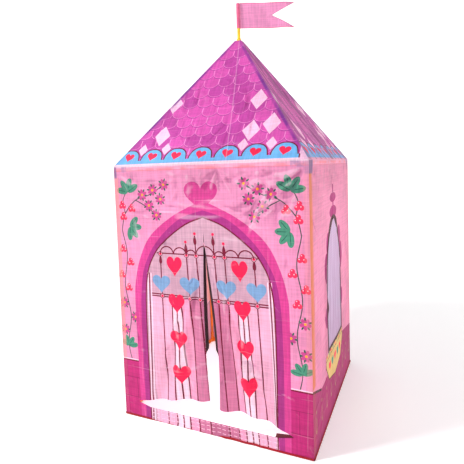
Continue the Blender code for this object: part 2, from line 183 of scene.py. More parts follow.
# The curve from a colour as it looks to its amounts of light
toe_share = 0.04045
toe_slope = 12.92
curve_lift = 0.055
curve_power = 2.4


def linear(colour):
    """The colour as light amounts, with full cover."""
    return tuple(
        share / toe_slope if share <= toe_share else ((share + curve_lift) / (1 + curve_lift)) ** curve_power
        for share in colour
    ) + (1,)


def between(low, high, share):
    return low + (high - low) * share


def eased(share):
    held = np.clip(share, 0, 1)
    return held * held * (3 - 2 * held)


def spread(count, reach):
    """Places evenly from -reach to reach."""
    return [between(-reach, reach, index / (count - 1)) for index in range(count)]


# Panels of the cover

class Panel:
    """The flat trapezoid of one side. u runs to the right seen from outside, and v up along the cloth."""

    def __init__(self, low_half, low_height, high_half, high_height):
        self.low_half = low_half
        self.low_height = low_height
        self.run = low_half - high_half
        self.rise = high_height - low_height
        self.slant = math.hypot(self.run, self.rise)
        self.outline = [(-low_half, 0), (low_half, 0), (high_half, self.slant), (-high_half, self.slant)]

    def half(self, v):
        return self.low_half - self.run * v / self.slant

    def place(self, u, v, out):
        level = self.half(v) + self.rise / self.slant * out
        height = self.low_height + (self.rise * v + self.run * out) / self.slant
        return np.stack((-u, level, height), axis=-1)


wall_panel = Panel(base_half, 0, eave_edge_half, eave_height)
roof_panel = Panel(eave_edge_half, eave_height, roof_top_half, roof_top_height)


def turned(points, index):
    """Points of the panel at the back, turned about the tent's middle to the side with this index."""
    angle = index * math.pi / 2
    cos, sin = math.cos(angle), math.sin(angle)
    return points @ np.array(((cos, sin, 0), (-sin, cos, 0), (0, 0, 1)))


# Outlines of printed shapes, as lists of flat points

round_sides = 20
dot_sides = 12
heart_sides = 40
heart_waves = (13, -5, -2, -1)
heart_span = 29
heart_lift_share = 0.09
smooth_steps = 7


def around(centre, reach, heading):
    return (centre[0] + reach * math.cos(heading), centre[1] + reach * math.sin(heading))


def laid(points, centre, heading=0):
    """The points turned by the heading, about their new centre."""
    cos, sin = math.cos(heading), math.sin(heading)
    return [(centre[0] + u * cos - v * sin, centre[1] + u * sin + v * cos) for u, v in points]


def ring(sides):
    return [2 * math.pi * step / sides for step in range(sides)]


def ellipse(centre, length_half, width_half, heading=0, sides=round_sides):
    line = [(length_half * math.cos(angle), width_half * math.sin(angle)) for angle in ring(sides)]
    return laid(line, centre, heading)


def disc(centre, radius, sides=round_sides):
    return ellipse(centre, radius, radius, 0, sides)


def heart(centre, width, height, tilt=0):
    """A heart on its point, from the usual curve of sines, centred between its lobes and its tip."""
    line = []
    for angle in ring(heart_sides):
        waves = sum(wave * math.cos((index + 1) * angle) for index, wave in enumerate(heart_waves))
        line.append((math.sin(angle) ** 3 * width / 2, (waves / heart_span + heart_lift_share) * height))
    return laid(line, centre, -tilt)


def drop(centre, width, height):
    """A drop with its point up."""
    return laid([
        (width / 2 * math.sin(angle) * math.sin(angle / 2), height / 2 * math.cos(angle))
        for angle in ring(round_sides)
    ], centre)


def ribbon(points, width):
    """The outline of a line of this width along the points."""
    left, right = [], []
    for index, point in enumerate(points):
        before = Vector(points[max(index - 1, 0)])
        after = Vector(points[min(index + 1, len(points) - 1)])
        along = (after - before).normalized()
        side = Vector((-along.y, along.x)) * width / 2
        left.append((point[0] + side.x, point[1] + side.y))
        right.append((point[0] - side.x, point[1] - side.y))
    return left + right[::-1]


def smooth_line(points, steps=smooth_steps):
    """A curve through all the points."""
    held = [points[0], *points, points[-1]]
    found = []
    for index in range(len(points) - 1):
        p0, p1, p2, p3 = (Vector(point) for point in held[index:index + 4])
        for step in range(steps):
            t = step / steps
            found.append(tuple(
                (2 * p1 + (p2 - p0) * t + (2 * p0 - 5 * p1 + 4 * p2 - p3) * t ** 2
                 + (3 * p1 - p0 - 3 * p2 + p3) * t ** 3) / 2
            ))
    return [*found, points[-1]]


def box(left, low, right, high):
    return [(left, low), (right, low), (right, high), (left, high)]


def mirrored(half_line):
    """The whole outline from its right half, which runs from the foot to the top."""
    return [*half_line, *((-u, v) for u, v in reversed(half_line[:-1]))]


# Prints: lists of (colour, outline), the lowest first

petal_count = 5
# The green leaves and the petals of a daisy: their ink, sides, turn in petals, and in shares of the daisy's
# size how far out they lie, their half length and their half width
daisy_ring_shares = (
    (vein_green, 10, 0.5, 0.38, 0.17, 0.075),
    (petal_magenta, 14, 0, 0.27, 0.22, 0.15),
)
eye_share = 0.11


def daisy(art, centre, size, turn):
    """Five round petals with green leaves between them, about a yellow middle."""
    for ink, sides, shift, out, length, width in daisy_ring_shares:
        for index in range(petal_count):
            heading = turn + 2 * math.pi * (index + shift) / petal_count
            middle = around(centre, out * size, heading)
            art.append((ink, ellipse(middle, length * size, width * size, heading, sides)))
    art.append((flower_yellow, disc(centre, eye_share * size, dot_sides)))


leaf_width_share = 0.25
vein_length_share = 0.84
vein_width_share = 0.045
cluster_turns = (-72, -26, 24, 70)


def leaf_cluster(art, foot, heading, length):
    """Four oval leaves from one foot, each with its middle vein."""
    half = length / 2
    for turn in cluster_turns:
        along = math.radians(heading) + math.radians(turn)
        tip = around(foot, vein_length_share * length, along)
        art.append((leaf_green, ellipse(around(foot, half, along), half, leaf_width_share * length, along)))
        art.append((vein_green, ribbon([foot, tip], vein_width_share * length)))


berry_count = 3
berry_out_share = 0.25
berry_radius_share = 0.25
berry_sides = 16
fleck_radius_share = 0.06
fleck_heading = math.radians(130)
fleck_sides = 8


def berries(art, centre, size):
    """Three round berries, each with a light fleck."""
    fleck = fleck_radius_share * size
    for index in range(berry_count):
        middle = around(centre, berry_out_share * size, math.pi / 2 + 2 * math.pi * index / berry_count)
        art.append((berry_red, disc(middle, berry_radius_share * size, berry_sides)))
        art.append((pale_pink, disc(around(middle, 2 * fleck, fleck_heading), fleck, fleck_sides)))


stem_width = 0.0046
stem_foot = 0.316
stem_end = 0.98
stem_middle = 0.44
stem_swing = 0.012
stem_wave = 0.31
stem_steps = 28
flower_size = 0.055
berry_size = 0.045
leaf_length = 0.066
flower_side = 0.027
berry_side = 0.0216
spray_turn = 0.7
stem_turn = 0.5

# The head of the vine on the right: its twigs, and what grows on them
spray_paths = (
    ((0.425, 1.06), (0.36, 1.125), (0.28, 1.15), (0.19, 1.2)),
    ((0.425, 1.06), (0.435, 1.12), (0.41, 1.17)),
    ((0.36, 1.125), (0.31, 1.10), (0.25, 1.06)),
)
spray_flowers = ((0.2, 1.196), (0.262, 1.172), (0.32, 1.15), (0.22, 1.13), (0.285, 1.1), (0.246, 1.055))
spray_berries = ((0.44, 1.1), (0.436, 1.045), (0.385, 1.085))
spray_clusters = ((0.402, 1.165, 80), (0.4, 0.995, 205))
stem_flowers = (0.47, 0.54, 0.61)
stem_berries = (0.69, 0.755, 0.82, 0.885)
low_cluster_height = 0.385
low_cluster_heading = 100
low_cluster_length = 0.0561


def stem_place(v):
    return stem_middle + stem_swing * math.sin(2 * math.pi * (v - stem_foot) / stem_wave)


def vine(art, hand):
    """A winding stem up the edge of the wall that spreads into a spray of flowers near the eave."""
    levels = [between(stem_foot, stem_end, step / stem_steps) for step in range(stem_steps + 1)]
    stem = [(stem_place(v), v) for v in levels]
    shapes = [(stem_grey, ribbon(stem, stem_width))]
    for path in spray_paths:
        start = [stem[-1]] if path is spray_paths[0] else []
        shapes.append((stem_grey, ribbon(smooth_line([*start, *path]), stem_width)))
    for u, v, heading in spray_clusters:
        leaf_cluster(shapes, (u, v), heading, leaf_length)
    low = (stem_place(low_cluster_height), low_cluster_height)
    leaf_cluster(shapes, low, low_cluster_heading, low_cluster_length)
    for index, centre in enumerate(spray_flowers):
        daisy(shapes, centre, flower_size, spray_turn * index)
    for centre in spray_berries:
        berries(shapes, centre, berry_size)
    for index, v in enumerate(stem_flowers):
        daisy(shapes, (stem_place(v) + flower_side * (-1) ** index, v), flower_size, stem_turn * index)
    for index, v in enumerate(stem_berries):
        berries(shapes, (stem_place(v) - berry_side * (-1) ** index, v), berry_size)
    art += [(colour, [(hand * u, v) for u, v in shape]) for colour, shape in shapes]


course_height = 0.107
block_length = 0.17
# Where the first block of an even row and of an odd row ends
block_start_shares = (0.15, 0.5)
base_top = 0.316
joint_width = 0.003
moulding_drop = 0.013
moulding_width = 0.006


def base_course(art, ink=base_magenta, top=base_top):
    """The magenta foot of a wall, with the joints of its blocks."""
    art.append((ink, box(-base_half, 0, base_half, top)))
    for row in range(math.ceil(top / course_height)):
        low = row * course_height
        if row:
            art.append((base_line, box(-base_half, low, base_half, low + joint_width)))
        start = -base_half + block_length * block_start_shares[row % 2]
        for index in range(int(2 * base_half / block_length) + 1):
            u = start + index * block_length
            art.append((base_line, box(u, low, u + joint_width, min(low + course_height, top))))


def moulding(art):
    """A dark and a pale line along the top of a wall's foot."""
    for ink, low in ((maroon, base_top - moulding_drop), (pale_pink, base_top - moulding_width)):
        art.append((ink, box(-base_half, low, base_half, low + moulding_width)))


# The door's surround: right halves of its lines, from the foot to the top
surround_outer = (
    (0.4, 0), (0.397, 0.58), (0.386, 0.73), (0.345, 0.86), (0.28, 0.962), (0.155, 1.054), (0, 1.125),
)
surround_middle = (
    (0.37, 0), (0.366, 0.5), (0.35, 0.72), (0.312, 0.84), (0.235, 0.948), (0.12, 1.04), (0, 1.08),
)
surround_inner = (
    (0.338, 0), (0.334, 0.55), (0.315, 0.76), (0.27, 0.865), (0.206, 0.935), (0.097, 1.012), (0, 1.05),
)
surround_line = 0.0065
surround_heart = (-0.008, 1.138)
surround_heart_size = (0.168, 0.14)


def surround(art):
    """Two nested soft arches with a heart on top, about the pale field of the door."""
    art.append((arch_outer, heart(surround_heart, *surround_heart_size)))
    lines = (surround_outer, surround_middle, surround_inner)
    for colour, line in zip((arch_outer, arch_inner, leaf_pink), lines):
        art.append((colour, mirrored(smooth_line(line))))


pull_shift = 0.057
pull_height = 0.95
pull_reach = 0.25
pull_end = 0.36
pull_end_width = 0.12
pull_step = 0.04


def pulled(u, v):
    """Where a printed point of the door lies, as the cloth's foot is drawn to the right."""
    near = eased((u + pull_reach) / pull_reach) * eased((pull_end - u) / pull_end_width)
    return (u + pull_shift * max(1 - v / pull_height, 0) * float(near), v)


bar_width = 0.006
gate_bars = ((0.046, 0.945), (0.096, 0.905), (0.235, 0.845))
# Panels of the gate, from the middle outward: their colour, and where they begin and end
# Their colours step from dark at the middle to light by the jambs: painted shade towards the flaps' free
# edges
gate_panels = (
    (panel_shade_mauve, 0.0, 0.046), (panel_shade_rose, 0.046, 0.096),
    (panel_pink, 0.096, 0.163), (panel_light, 0.163, 0.3),
)
column_place = 0.163
column_top_half = 0.0225
column_foot_half = 0.03
rail_height = 0.66
rail_gap = 0.011
upper_rail_height = 0.872
upper_rail_half = 0.255
# Lines up the jamb: their colour, their width, and how far out they stand at the top and at the foot
jamb_lines = (
    (pale_pink, 0.0064, 0.2945, 0.3165), (maroon, 0.006, 0.3035, 0.3265), (pale_pink, 0.0066, 0.313, 0.3335),
)
jamb_top = 0.775
column_hearts = (0.812, 0.632, 0.45, 0.275)
column_heart_size = (0.08, 0.098)
blue_hearts = (0.092, 0.238)
blue_heart_height = 0.722
blue_heart_size = (0.098, 0.089)
finial_size = (0.022, 0.046)
finial_dot_rise = 0.02852
dot_radius = 0.0068
ring_radius = 0.0125
ring_width = 0.003
hoop_steps = 12
strip_stitches = (0.018, 0.04, 0.06)
strip_stitch_count = 24
strip_stitch_share = 0.2
strip_stitch_length = 0.018
strip_stitch_width = 0.0028
# The dark drop down the top of the slit, painted shade of the inside seen through it: its width, its length,
# and how far its middle lies under the slit's top
slit_shade_width = 0.011
slit_shade_length = 0.24
slit_shade_drop = 0.08


def gate_half(shapes, hand):
    """One side of the gate: panels stepped in painted shade, upright bars with drop finials, rails with
    rings, and hearts.
    """
    for colour, near, far in gate_panels:
        shapes.append((colour, box(hand * near, 0, hand * far, rail_height)))
    column = [
        [(hand * (column_place + side * column_foot_half), 0),
         (hand * (column_place + side * column_top_half), rail_height)] for side in (-1, 0, 1)
    ]
    shapes.append((pale_pink, [*column[0], *column[2][::-1]]))
    for line in column:
        shapes.append((maroon, ribbon(line, bar_width)))
    for colour, width, top, foot in jamb_lines:
        shapes.append((colour, ribbon([(hand * foot, 0), (hand * top, jamb_top)], width)))
    lower_half = jamb_lines[0][2]
    for v, half in (
        (rail_height, lower_half), (rail_height + rail_gap, lower_half), (upper_rail_height, upper_rail_half),
    ):
        shapes.append((maroon, box(0, v, hand * half, v + bar_width)))
    for u, top in gate_bars:
        shapes.append((maroon, ribbon([(hand * u, 0), (hand * u, top)], bar_width)))
        shapes.append((maroon, drop((hand * u, top), *finial_size)))
        shapes.append((heart_red, disc((hand * u, top + finial_dot_rise), dot_radius, dot_sides)))
        for v in (rail_height + rail_gap / 2, upper_rail_height):
            shapes.append((maroon, disc((hand * u, v), ring_radius)))
            shapes.append((leaf_pink, disc((hand * u, v), ring_radius - ring_width)))
            shapes.append((heart_red, disc((hand * u, v), dot_radius, dot_sides)))
    stops = [gate_bars[0][0], gate_bars[1][0], column_place, gate_bars[2][0]]
    for near, far in zip(stops, stops[1:]):
        shapes.append((maroon, hoop(hand * (near + far) / 2, (far - near) / 2)))
    for v in column_hearts:
        shapes.append((heart_red, heart((hand * column_place, v), *column_heart_size)))
    for u in blue_hearts:
        shapes.append((heart_blue, heart((hand * u, blue_heart_height), *blue_heart_size)))


def hoop(middle, radius):
    """A half round on the upper rail."""
    headings = [math.pi * step / hoop_steps for step in range(hoop_steps + 1)]
    return ribbon([around((middle, upper_rail_height), radius, heading) for heading in headings], bar_width)


def gate(art):
    """The gate, pulled with the door's cloth, the painted shade down the top of the slit and the stitches of
    the strip below.
    """
    shapes = [(maroon, hoop(0, gate_bars[0][0]))]
    for hand in (-1, 1):
        gate_half(shapes, hand)
    art += [(colour, [pulled(*point) for point in stepped(shape, pull_step)]) for colour, shape in shapes]
    art.append((maroon, ribbon(mirrored(smooth_line(surround_inner)), surround_line)))
    # Painted shade of the dark inside, down the top of the slit
    art.append((inside_shade_maroon, drop((0, slit_top - slit_shade_drop), slit_shade_width, slit_shade_length)))
    for v in strip_stitches:
        for index in range(strip_stitch_count):
            u = between(-threshold_half, threshold_half, (index + strip_stitch_share) / strip_stitch_count)
            art.append((pale_pink, box(u, v, u + strip_stitch_length, v + strip_stitch_width)))


eave_band_width = 0.0245
eave_edge_width = 0.006
band_seam_width = 0.0022


def eave_band(art, edge=pale_pink):
    """The pale channel along the eave that takes the rail, with its seam."""
    high = wall_panel.slant
    low = high - eave_band_width
    art.append((band_pink, box(-base_half, low, base_half, high)))
    art.append((edge, box(-base_half, high - eave_edge_width, base_half, high)))
    art.append((band_seam, box(-base_half, low, base_half, low + band_seam_width)))


def vine_print(*middles):
    """A wall with a vine up each edge, and these prints between them."""
    art = []
    base_course(art)
    moulding(art)
    for hand in (-1, 1):
        vine(art, hand)
    for middle in middles:
        middle(art)
    eave_band(art)
    return art


lancet_steps = 14


def lancet(aside, above):
    """A pointed arch on upright jambs, wider than the window's opening by aside, and higher by above."""
    half = window_half + aside
    rise = window_top - window_spring + above
    radius = (half * half + rise * rise) / (2 * half)
    sweep = math.asin(rise / radius)
    centre = (half - radius, window_spring)
    arc = [around(centre, radius, sweep * step / lancet_steps) for step in range(lancet_steps + 1)]
    return mirrored([(half, window_sill - above), *arc])


# The edge of the net that is left free, its right half from the foot to the top
net_edge = (
    (0.165, 0.362), (0.166, 0.48), (0.164, 0.62), (0.15, 0.78), (0.117, 0.89), (0.068, 0.968), (0, 0.993),
)
net_edge_lean = 0.018
frame_width = 0.022
frame_ovals = ((0.14, 0.88, 0.042, 0.06), (0.182, 0.77, 0.045, 0.075), (0.2, 0.53, 0.034, 0.05))
finial_stem_half = 0.012
finial_top = 1.165
finial_rounds = ((1.028, 0.088, 0.032), (1.1, 0.078, 0.024))
base_drop_count = 9
base_drop_reach = 0.44
base_drop_height = 0.13
base_drop_size = (0.034, 0.085)
base_drop_hollow = (0.0204, 0.051)
base_bead_height = 0.1912
base_bead_radius = 0.009
side_base_top = 0.245
# Where the foot rises above that: to the corner on the left, and from the window's sill to the right
corner_rise = ((-0.496, 0.31), (-0.335, 0.245))
corner_line_width = 0.011
sill_rise = ((0.2, 0.315), (0.5, 0.262))
sill_edge = 0.006
sill_line = 0.004
sill_inks = (heart_red, leaf_green)
sill_half_outline = ((0.0, 0.17), (0.15, 0.205), (0.215, 0.29), (0.215, 0.355))
sill_dot_row = 0.332
sill_dot_count = 9
sill_dot_reach = 0.185
sill_dot_radius = 0.0085
sill_hearts_row = 0.262
sill_heart_count = 5
sill_heart_reach = 0.13
sill_heart_size = (0.047, 0.052)


def window_edge(grown):
    """A soft arch about the free net, grown outward, whose foot leans a little to the right."""
    foot_half, foot = net_edge[0]
    top = net_edge[-1][1]
    wider = 1 + grown / foot_half
    half_line = [(u * wider, v + grown * between(-1, 1, (v - foot) / (top - foot))) for u, v in net_edge]
    line = mirrored(smooth_line(half_line))
    return [(u + net_edge_lean * (top - v) / (top - foot), v) for u, v in line]


def window_frame(art):
    """Rounds beside the window and on top of it, and its dark edge."""
    for hand in (-1, 1):
        for u, v, half_width, half_height in frame_ovals:
            middle = (hand * u + net_edge_lean, v)
            art.append((frame_magenta, ellipse(middle, half_width, half_height, 0)))
    art.append((frame_magenta, box(-finial_stem_half, window_top, finial_stem_half, finial_top)))
    for height, half_width, half_height in finial_rounds:
        art.append((frame_magenta, ellipse((0, height), half_width, half_height, 0)))
    art.append((frame_edge, window_edge(frame_width)))


def window_print():
    """A wall with a framed window over a gold sill."""
    art = []
    base_course(art, side_base_magenta, side_base_top)
    corner = [(-base_half, side_base_top), corner_rise[1], (-base_half, corner_rise[0][1])]
    rise_foot = [(u, side_base_top) for u, _ in sill_rise]
    art.append((side_base_magenta, corner))
    art.append((frame_edge, ribbon(corner_rise, corner_line_width)))
    art.append((side_base_magenta, [*rise_foot, *sill_rise[::-1]]))
    for u in spread(base_drop_count, base_drop_reach):
        art.append((base_tan, drop((u, base_drop_height), *base_drop_size)))
        art.append((side_base_magenta, drop((u, base_drop_height), *base_drop_hollow)))
        art.append((base_tan, disc((u, base_bead_height), base_bead_radius, dot_sides)))
    window_frame(art)
    sill = mirrored(sill_half_outline[::-1])[::-1]
    art.append((sill_brown, [((1 + sill_edge / window_half) * u, v - sill_edge) for u, v in sill]))
    art.append((sill_gold, sill))
    low = sill_dot_row - 2 * sill_dot_radius
    art.append((sill_brown, box(-sill_half_outline[-1][0], low, sill_half_outline[-1][0], low + sill_line)))
    for index, u in enumerate(spread(sill_dot_count, sill_dot_reach)):
        art.append((sill_inks[index % 2], disc((u, sill_dot_row), sill_dot_radius, dot_sides)))
    for index, u in enumerate(spread(sill_heart_count, sill_heart_reach)):
        art.append((sill_inks[index % 2], heart((u, sill_hearts_row), *sill_heart_size)))
    eave_band(art, band_pink)
    return art


tile_width = 0.08
tile_pitch = 0.061
tile_round = 0.029
tile_line_width = 0.0022
tile_shade_drop = 0.006
tile_steps = 12
tile_seed = 11
tile_light_share = 0.44
# Pale lozenges on the tiles, painted glints: their middles, and their half sizes and sides
lozenges = ((0.2, 0.35), (0.2, 0.17), (0.29, 0.2), (-0.255, 0.17), (-0.245, 0.37))
lozenge_halves = (0.0425, 0.06)
small_lozenge_halves = (0.025, 0.035)
lozenge_sides = 4


def tile(centre, half, fall):
    """A hanging tile: straight sides that end in a shallow round."""
    low = []
    for step in range(tile_steps + 1):
        angle = math.pi * step / tile_steps
        low.append((centre[0] - half * math.cos(angle), centre[1] - fall * math.sin(angle)))
    return [*low, (centre[0] + half, centre[1] + tile_pitch), (centre[0] - half, centre[1] + tile_pitch)]


def tiles(art):
    """Rows of round-ended tiles, each row lapping over the one below it and shading it."""
    chance = random.Random(tile_seed)
    half = tile_width / 2
    for row in range(int(roof_panel.slant / tile_pitch) + 2):
        v = row * tile_pitch
        count = int((roof_panel.half(max(v - tile_pitch, 0)) + tile_width) / tile_width) + 1
        middles = [(index + row % 2 / 2) * tile_width for index in range(-count, count + 1)]
        art += [(tile_shade, tile((u, v - tile_shade_drop), half, tile_round)) for u in middles]
        for u in middles:
            colour = tile_light if chance.random() < tile_light_share else tile_dark
            art.append((tile_line, tile((u, v), half, tile_round)))
            art.append((colour, tile((u, v), half - tile_line_width, tile_round - tile_line_width)))


scallop_pitch = 0.1292
scallop_start = -0.466
scallop_count = 7
scallop_foot = 0.009
scallop_low = 0.028
scallop_high = 0.09
scallop_line = 0.006
scallop_steps = 4
lozenge_cusps = (1, 2, 5, 6)
scallop_shares = (
    (0.04, 0), (0.07, 0.35), (0.17, 0.72), (0.33, 0.95), (0.52, 1), (0.72, 0.9), (0.88, 0.58), (0.95, 0),
)
scallop_heart_share = 0.49
scallop_heart_height = 0.046
scallop_heart_size = (0.053, 0.047)
scallop_heart_tilt = 0.15
# How high the pale patch of painted highlight past the border's right end reaches
corner_highlight_height = 0.085


def scallops(art, foot_ink):
    """A blue border of lopsided rounds with a heart in each, outlined along its top, with a pale painted
    highlight past its right end.
    """
    domes = []
    for index in range(scallop_count):
        cusp = scallop_start + index * scallop_pitch
        domes.append(smooth_line([
            (cusp + along * scallop_pitch, between(scallop_low, scallop_high, up))
            for along, up in scallop_shares
        ], scallop_steps))
    line = [(-base_half, scallop_high), *(point for dome in domes for point in dome)]
    end = scallop_start + scallop_count * scallop_pitch
    line.append((end, scallop_low))
    art.append((foot_ink, box(-base_half, 0, base_half, scallop_foot)))
    # A painted highlight at the corner past the border's end
    art.append((tile_glint_pale, box(end, 0, base_half, corner_highlight_height)))
    art.append((scallop_blue, [*line, (end, scallop_foot), (-base_half, scallop_foot)]))
    for dome in domes:
        art.append((maroon, ribbon(dome, scallop_line)))
    art.append((maroon, ribbon([(end, scallop_low), (end, scallop_foot)], scallop_line)))
    for index in range(scallop_count):
        middle = (scallop_start + (index + scallop_heart_share) * scallop_pitch, scallop_heart_height)
        art.append((heart_red, heart(middle, *scallop_heart_size, scallop_heart_tilt)))


def roof_print(foot_ink):
    art = [(tile_dark, box(-base_half, 0, base_half, roof_panel.slant))]
    tiles(art)
    # Painted glints: pale lozenges on the tiles and at the border's cusps
    for centre in lozenges:
        art.append((tile_glint_pale, ellipse(centre, *lozenge_halves, sides=lozenge_sides)))
    for index in lozenge_cusps:
        cusp = (scallop_start + index * scallop_pitch, scallop_high)
        art.append((tile_glint_pale, ellipse(cusp, *small_lozenge_halves, sides=lozenge_sides)))
    scallops(art, foot_ink)
    return art


flag_hem_width = 0.0028
notch_edge_width = 0.0036


def flag_print():
    notch = [(flag_length, 0), (flag_length - flag_notch, flag_height / 2), (flag_length, flag_height)]
    return [
        (flag_edge, box(0, 0, flag_length, flag_hem_width)),
        (flag_edge, box(0, flag_height - flag_hem_width, flag_length, flag_height)),
        (notch_edge, ribbon(notch, notch_edge_width)),
    ]


# From flat print to cloth

round_up_share = 0.999
weld_gap = 1e-7
# The kind of cut that keeps only what lies inside the outlines
inside_only = 1


def twice_area(points):
    """Twice the area inside the outline, under nought where it runs clockwise."""
    edges = zip(points, points[1:] + points[:1])
    return sum(here[0] * there[1] - there[0] * here[1] for here, there in edges)


def flat_area(points):
    return abs(twice_area(points)) / 2


def stepped(points, step):
    """The closed outline with its long edges divided."""
    found = []
    for here, there in zip(points, points[1:] + points[:1]):
        count = max(int(math.dist(here, there) / step + round_up_share), 1)
        found += [tuple(between(*ends, index / count) for ends in zip(here, there)) for index in range(count)]
    return found


def reaches(shape, low, high):
    """Whether an outline's box meets the box from low to high."""
    return all(
        max(point[axis] for point in shape) > low[axis] and min(point[axis] for point in shape) < high[axis]
        for axis in (0, 1)
    )


def cut_cloth(outline, holes, art, ground):
    """Flat points, triangles and a colour for each triangle: that of the topmost printed shape there."""
    low = [min(point[axis] for point in outline) for axis in (0, 1)]
    high = [max(point[axis] for point in outline) for axis in (0, 1)]
    kept = [(colour, shape) for colour, shape in art if reaches(shape, low, high)]
    points, faces = [], []
    for shape in [outline, *holes, *(shape for _, shape in kept)]:
        drawn = stepped(shape, print_step)
        if twice_area(drawn) <= 0:
            drawn.reverse()
        faces.append(list(range(len(points), len(points) + len(drawn))))
        points += drawn
    lines = [[points[index] for index in face] for face in faces]
    samples = [sample for line in lines for sample in stepped(line, step_clearance)]
    tree = kdtree.KDTree(len(samples))
    for index, (u, v) in enumerate(samples):
        tree.insert((u, v, 0), index)
    tree.balance()
    columns = int((high[0] - low[0]) / cloth_step)
    rows = int((high[1] - low[1]) / cloth_step)
    for row in range(rows + 1):
        for column in range(columns + 1):
            u = low[0] + (column + row % 2 / 2) * cloth_step
            v = low[1] + row * cloth_step
            if tree.find((u, v, 0))[2] > step_clearance:
                points.append((u, v))
    found = geometry.delaunay_2d_cdt([Vector(point) for point in points], [], faces, inside_only, weld_gap)
    flat, triangles, sources = found[0], found[2], found[5]
    colours = [ground, *(None for _ in holes), *(colour for colour, _ in kept)]
    kept_triangles, kept_colours = [], []
    for triangle, source in zip(triangles, sources):
        if 0 not in source or any(0 < index <= len(holes) for index in source):
            continue
        kept_triangles.append(triangle)
        kept_colours.append(colours[max(source)])
    return np.array([tuple(point) for point in flat]), kept_triangles, kept_colours


def normals_of(place, flat):
    """The surface's own normals, so that the cuts between printed shapes leave no mark on the shading."""
    u, v = flat[:, 0], flat[:, 1]
    along_u = place(u + normal_reach, v) - place(u - normal_reach, v)
    along_v = place(u, v + normal_reach) - place(u, v - normal_reach)
    found = np.cross(along_u, along_v)
    return found / np.linalg.norm(found, axis=1, keepdims=True)


def link(name, data):
    """A new object with this data, in the scene."""
    made = bpy.data.objects.new(name, data)
    bpy.context.scene.collection.objects.link(made)
    return made


def printed_piece(name, points, faces, flat, inks, look):
    """A smooth sheet from its points in space and on the flat panel, with an ink for each face."""
    mesh = bpy.data.meshes.new(name)
    mesh.from_pydata(points, [], faces)
    mesh.shade_smooth()
    corners = np.empty(len(mesh.loops), np.int32)
    mesh.loops.foreach_get("vertex_index", corners)
    mesh.uv_layers.new(name=PANEL_MAP).data.foreach_set("uv", flat[corners].ravel())
    painted = mesh.color_attributes.new(name=PRINT, type="FLOAT_COLOR", domain="CORNER")
    painted.data.foreach_set("color", np.repeat(inks, [len(face) for face in faces], axis=0).ravel())
    mesh.materials.append(look)
    return link(name, mesh)


def cloth_piece(name, outline, holes, art, ground, place, look, rough=None):
    """A printed sheet cut to its outline less its holes, bent by place(u, v). rough is what wrinkles add."""
    flat, triangles, colours = cut_cloth(outline, holes, art, ground)
    used = sorted({index for triangle in triangles for index in triangle})
    renumbered = {index: new for new, index in enumerate(used)}
    flat = flat[used]
    faces = [tuple(renumbered[index] for index in triangle) for triangle in triangles]
    inks = {colour: linear(colour) for colour in set(colours)}
    points = place(flat[:, 0], flat[:, 1]).tolist()
    piece = printed_piece(name, points, faces, flat, [inks[colour] for colour in colours], look)
    if rough:
        relief = piece.data.attributes.new(name=RELIEF, type="FLOAT", domain="POINT")
        relief.data.foreach_set("value", rough(flat[:, 0], flat[:, 1]))
    piece.data.normals_split_custom_set_from_vertices(normals_of(place, flat).tolist())
    return piece


def run_along(rows, axis):
    """How far each point of the rows lies along them, on axis 1, or across them, on axis 0."""
    steps = np.linalg.norm(np.diff(rows, axis=axis), axis=2)
    start = np.zeros_like(steps.take([0], axis))
    return np.concatenate([start, np.cumsum(steps, axis=axis)], axis=axis).ravel()


def grid_faces(lines, count):
    """The faces between lines of points, with this count of points in each line."""
    faces = []
    for low in range(0, (lines - 1) * count, count):
        high = low + count
        faces += [
            (low + index, low + index + 1, high + index + 1, high + index) for index in range(count - 1)
        ]
    return faces


def round_row(radius, height, sides):
    """Points about the upright axis, with the first one again at the end."""
    angles = [*ring(sides), 2 * math.pi]
    return [(radius * math.cos(angle), radius * math.sin(angle), height) for angle in angles]


def grid_piece(name, rows, look, colour):
    """A smooth strip through rows of points, all as long as each other, in one printed colour."""
    points = [tuple(point) for row in rows for point in row]
    faces = grid_faces(len(rows), len(rows[0]))
    flat = np.stack([run_along(np.array(rows), axis) for axis in (1, 0)], axis=-1)
    return printed_piece(name, points, faces, flat, [linear(colour)] * len(faces), look)


# Folds and wrinkles

wall_folds = 2.5
flap_folds = 2.5
fold_fade_share = 0.33
edge_fade = 0.05
wrinkle_heights = (0.0012, 0.0036)
wrinkle_widths = (0.005, 0.011)
wrinkle_lengths = (0.06, 0.22)
fine_heights = (0.0005, 0.0014)
fine_lengths = (0.08, 0.3)
pucker_lengths = (0.03, 0.1)
wrinkle_lean = 0.7
fan_stray_shares = (0.2, 0.8)
fan_length_shares = (0.6, 1)
fan_height_shares = (0.5, 1)
fold_drift = 2


def wrinkle(u, v, start, heading, length, width, height):
    """One soft ridge that runs from a point, highest near its start."""
    along = ((u - start[0]) * math.cos(heading) + (v - start[1]) * math.sin(heading)) / length
    across = ((v - start[1]) * math.cos(heading) - (u - start[0]) * math.sin(heading)) / width
    held = np.clip(along, 0, 1)
    return height * np.sin(math.pi * held ** wrinkle_lean) * np.exp(-across * across)


def scattered(seed, count, low, high, heading, stray, lengths=wrinkle_lengths, heights=wrinkle_heights):
    """Settings of wrinkles strewn over the box from low to high, about a heading in degrees."""
    chance = random.Random(seed)
    return [
        (
            (chance.uniform(low[0], high[0]), chance.uniform(low[1], high[1])),
            math.radians(heading) + chance.gauss(0, stray),
            chance.uniform(*lengths),
            chance.uniform(*wrinkle_widths),
            chance.choice((-1, 1)) * chance.uniform(*heights),
        )
        for _ in range(count)
    ]


def summed(u, v, wrinkles):
    return sum((wrinkle(u, v, *setting) for setting in wrinkles), np.zeros_like(u))


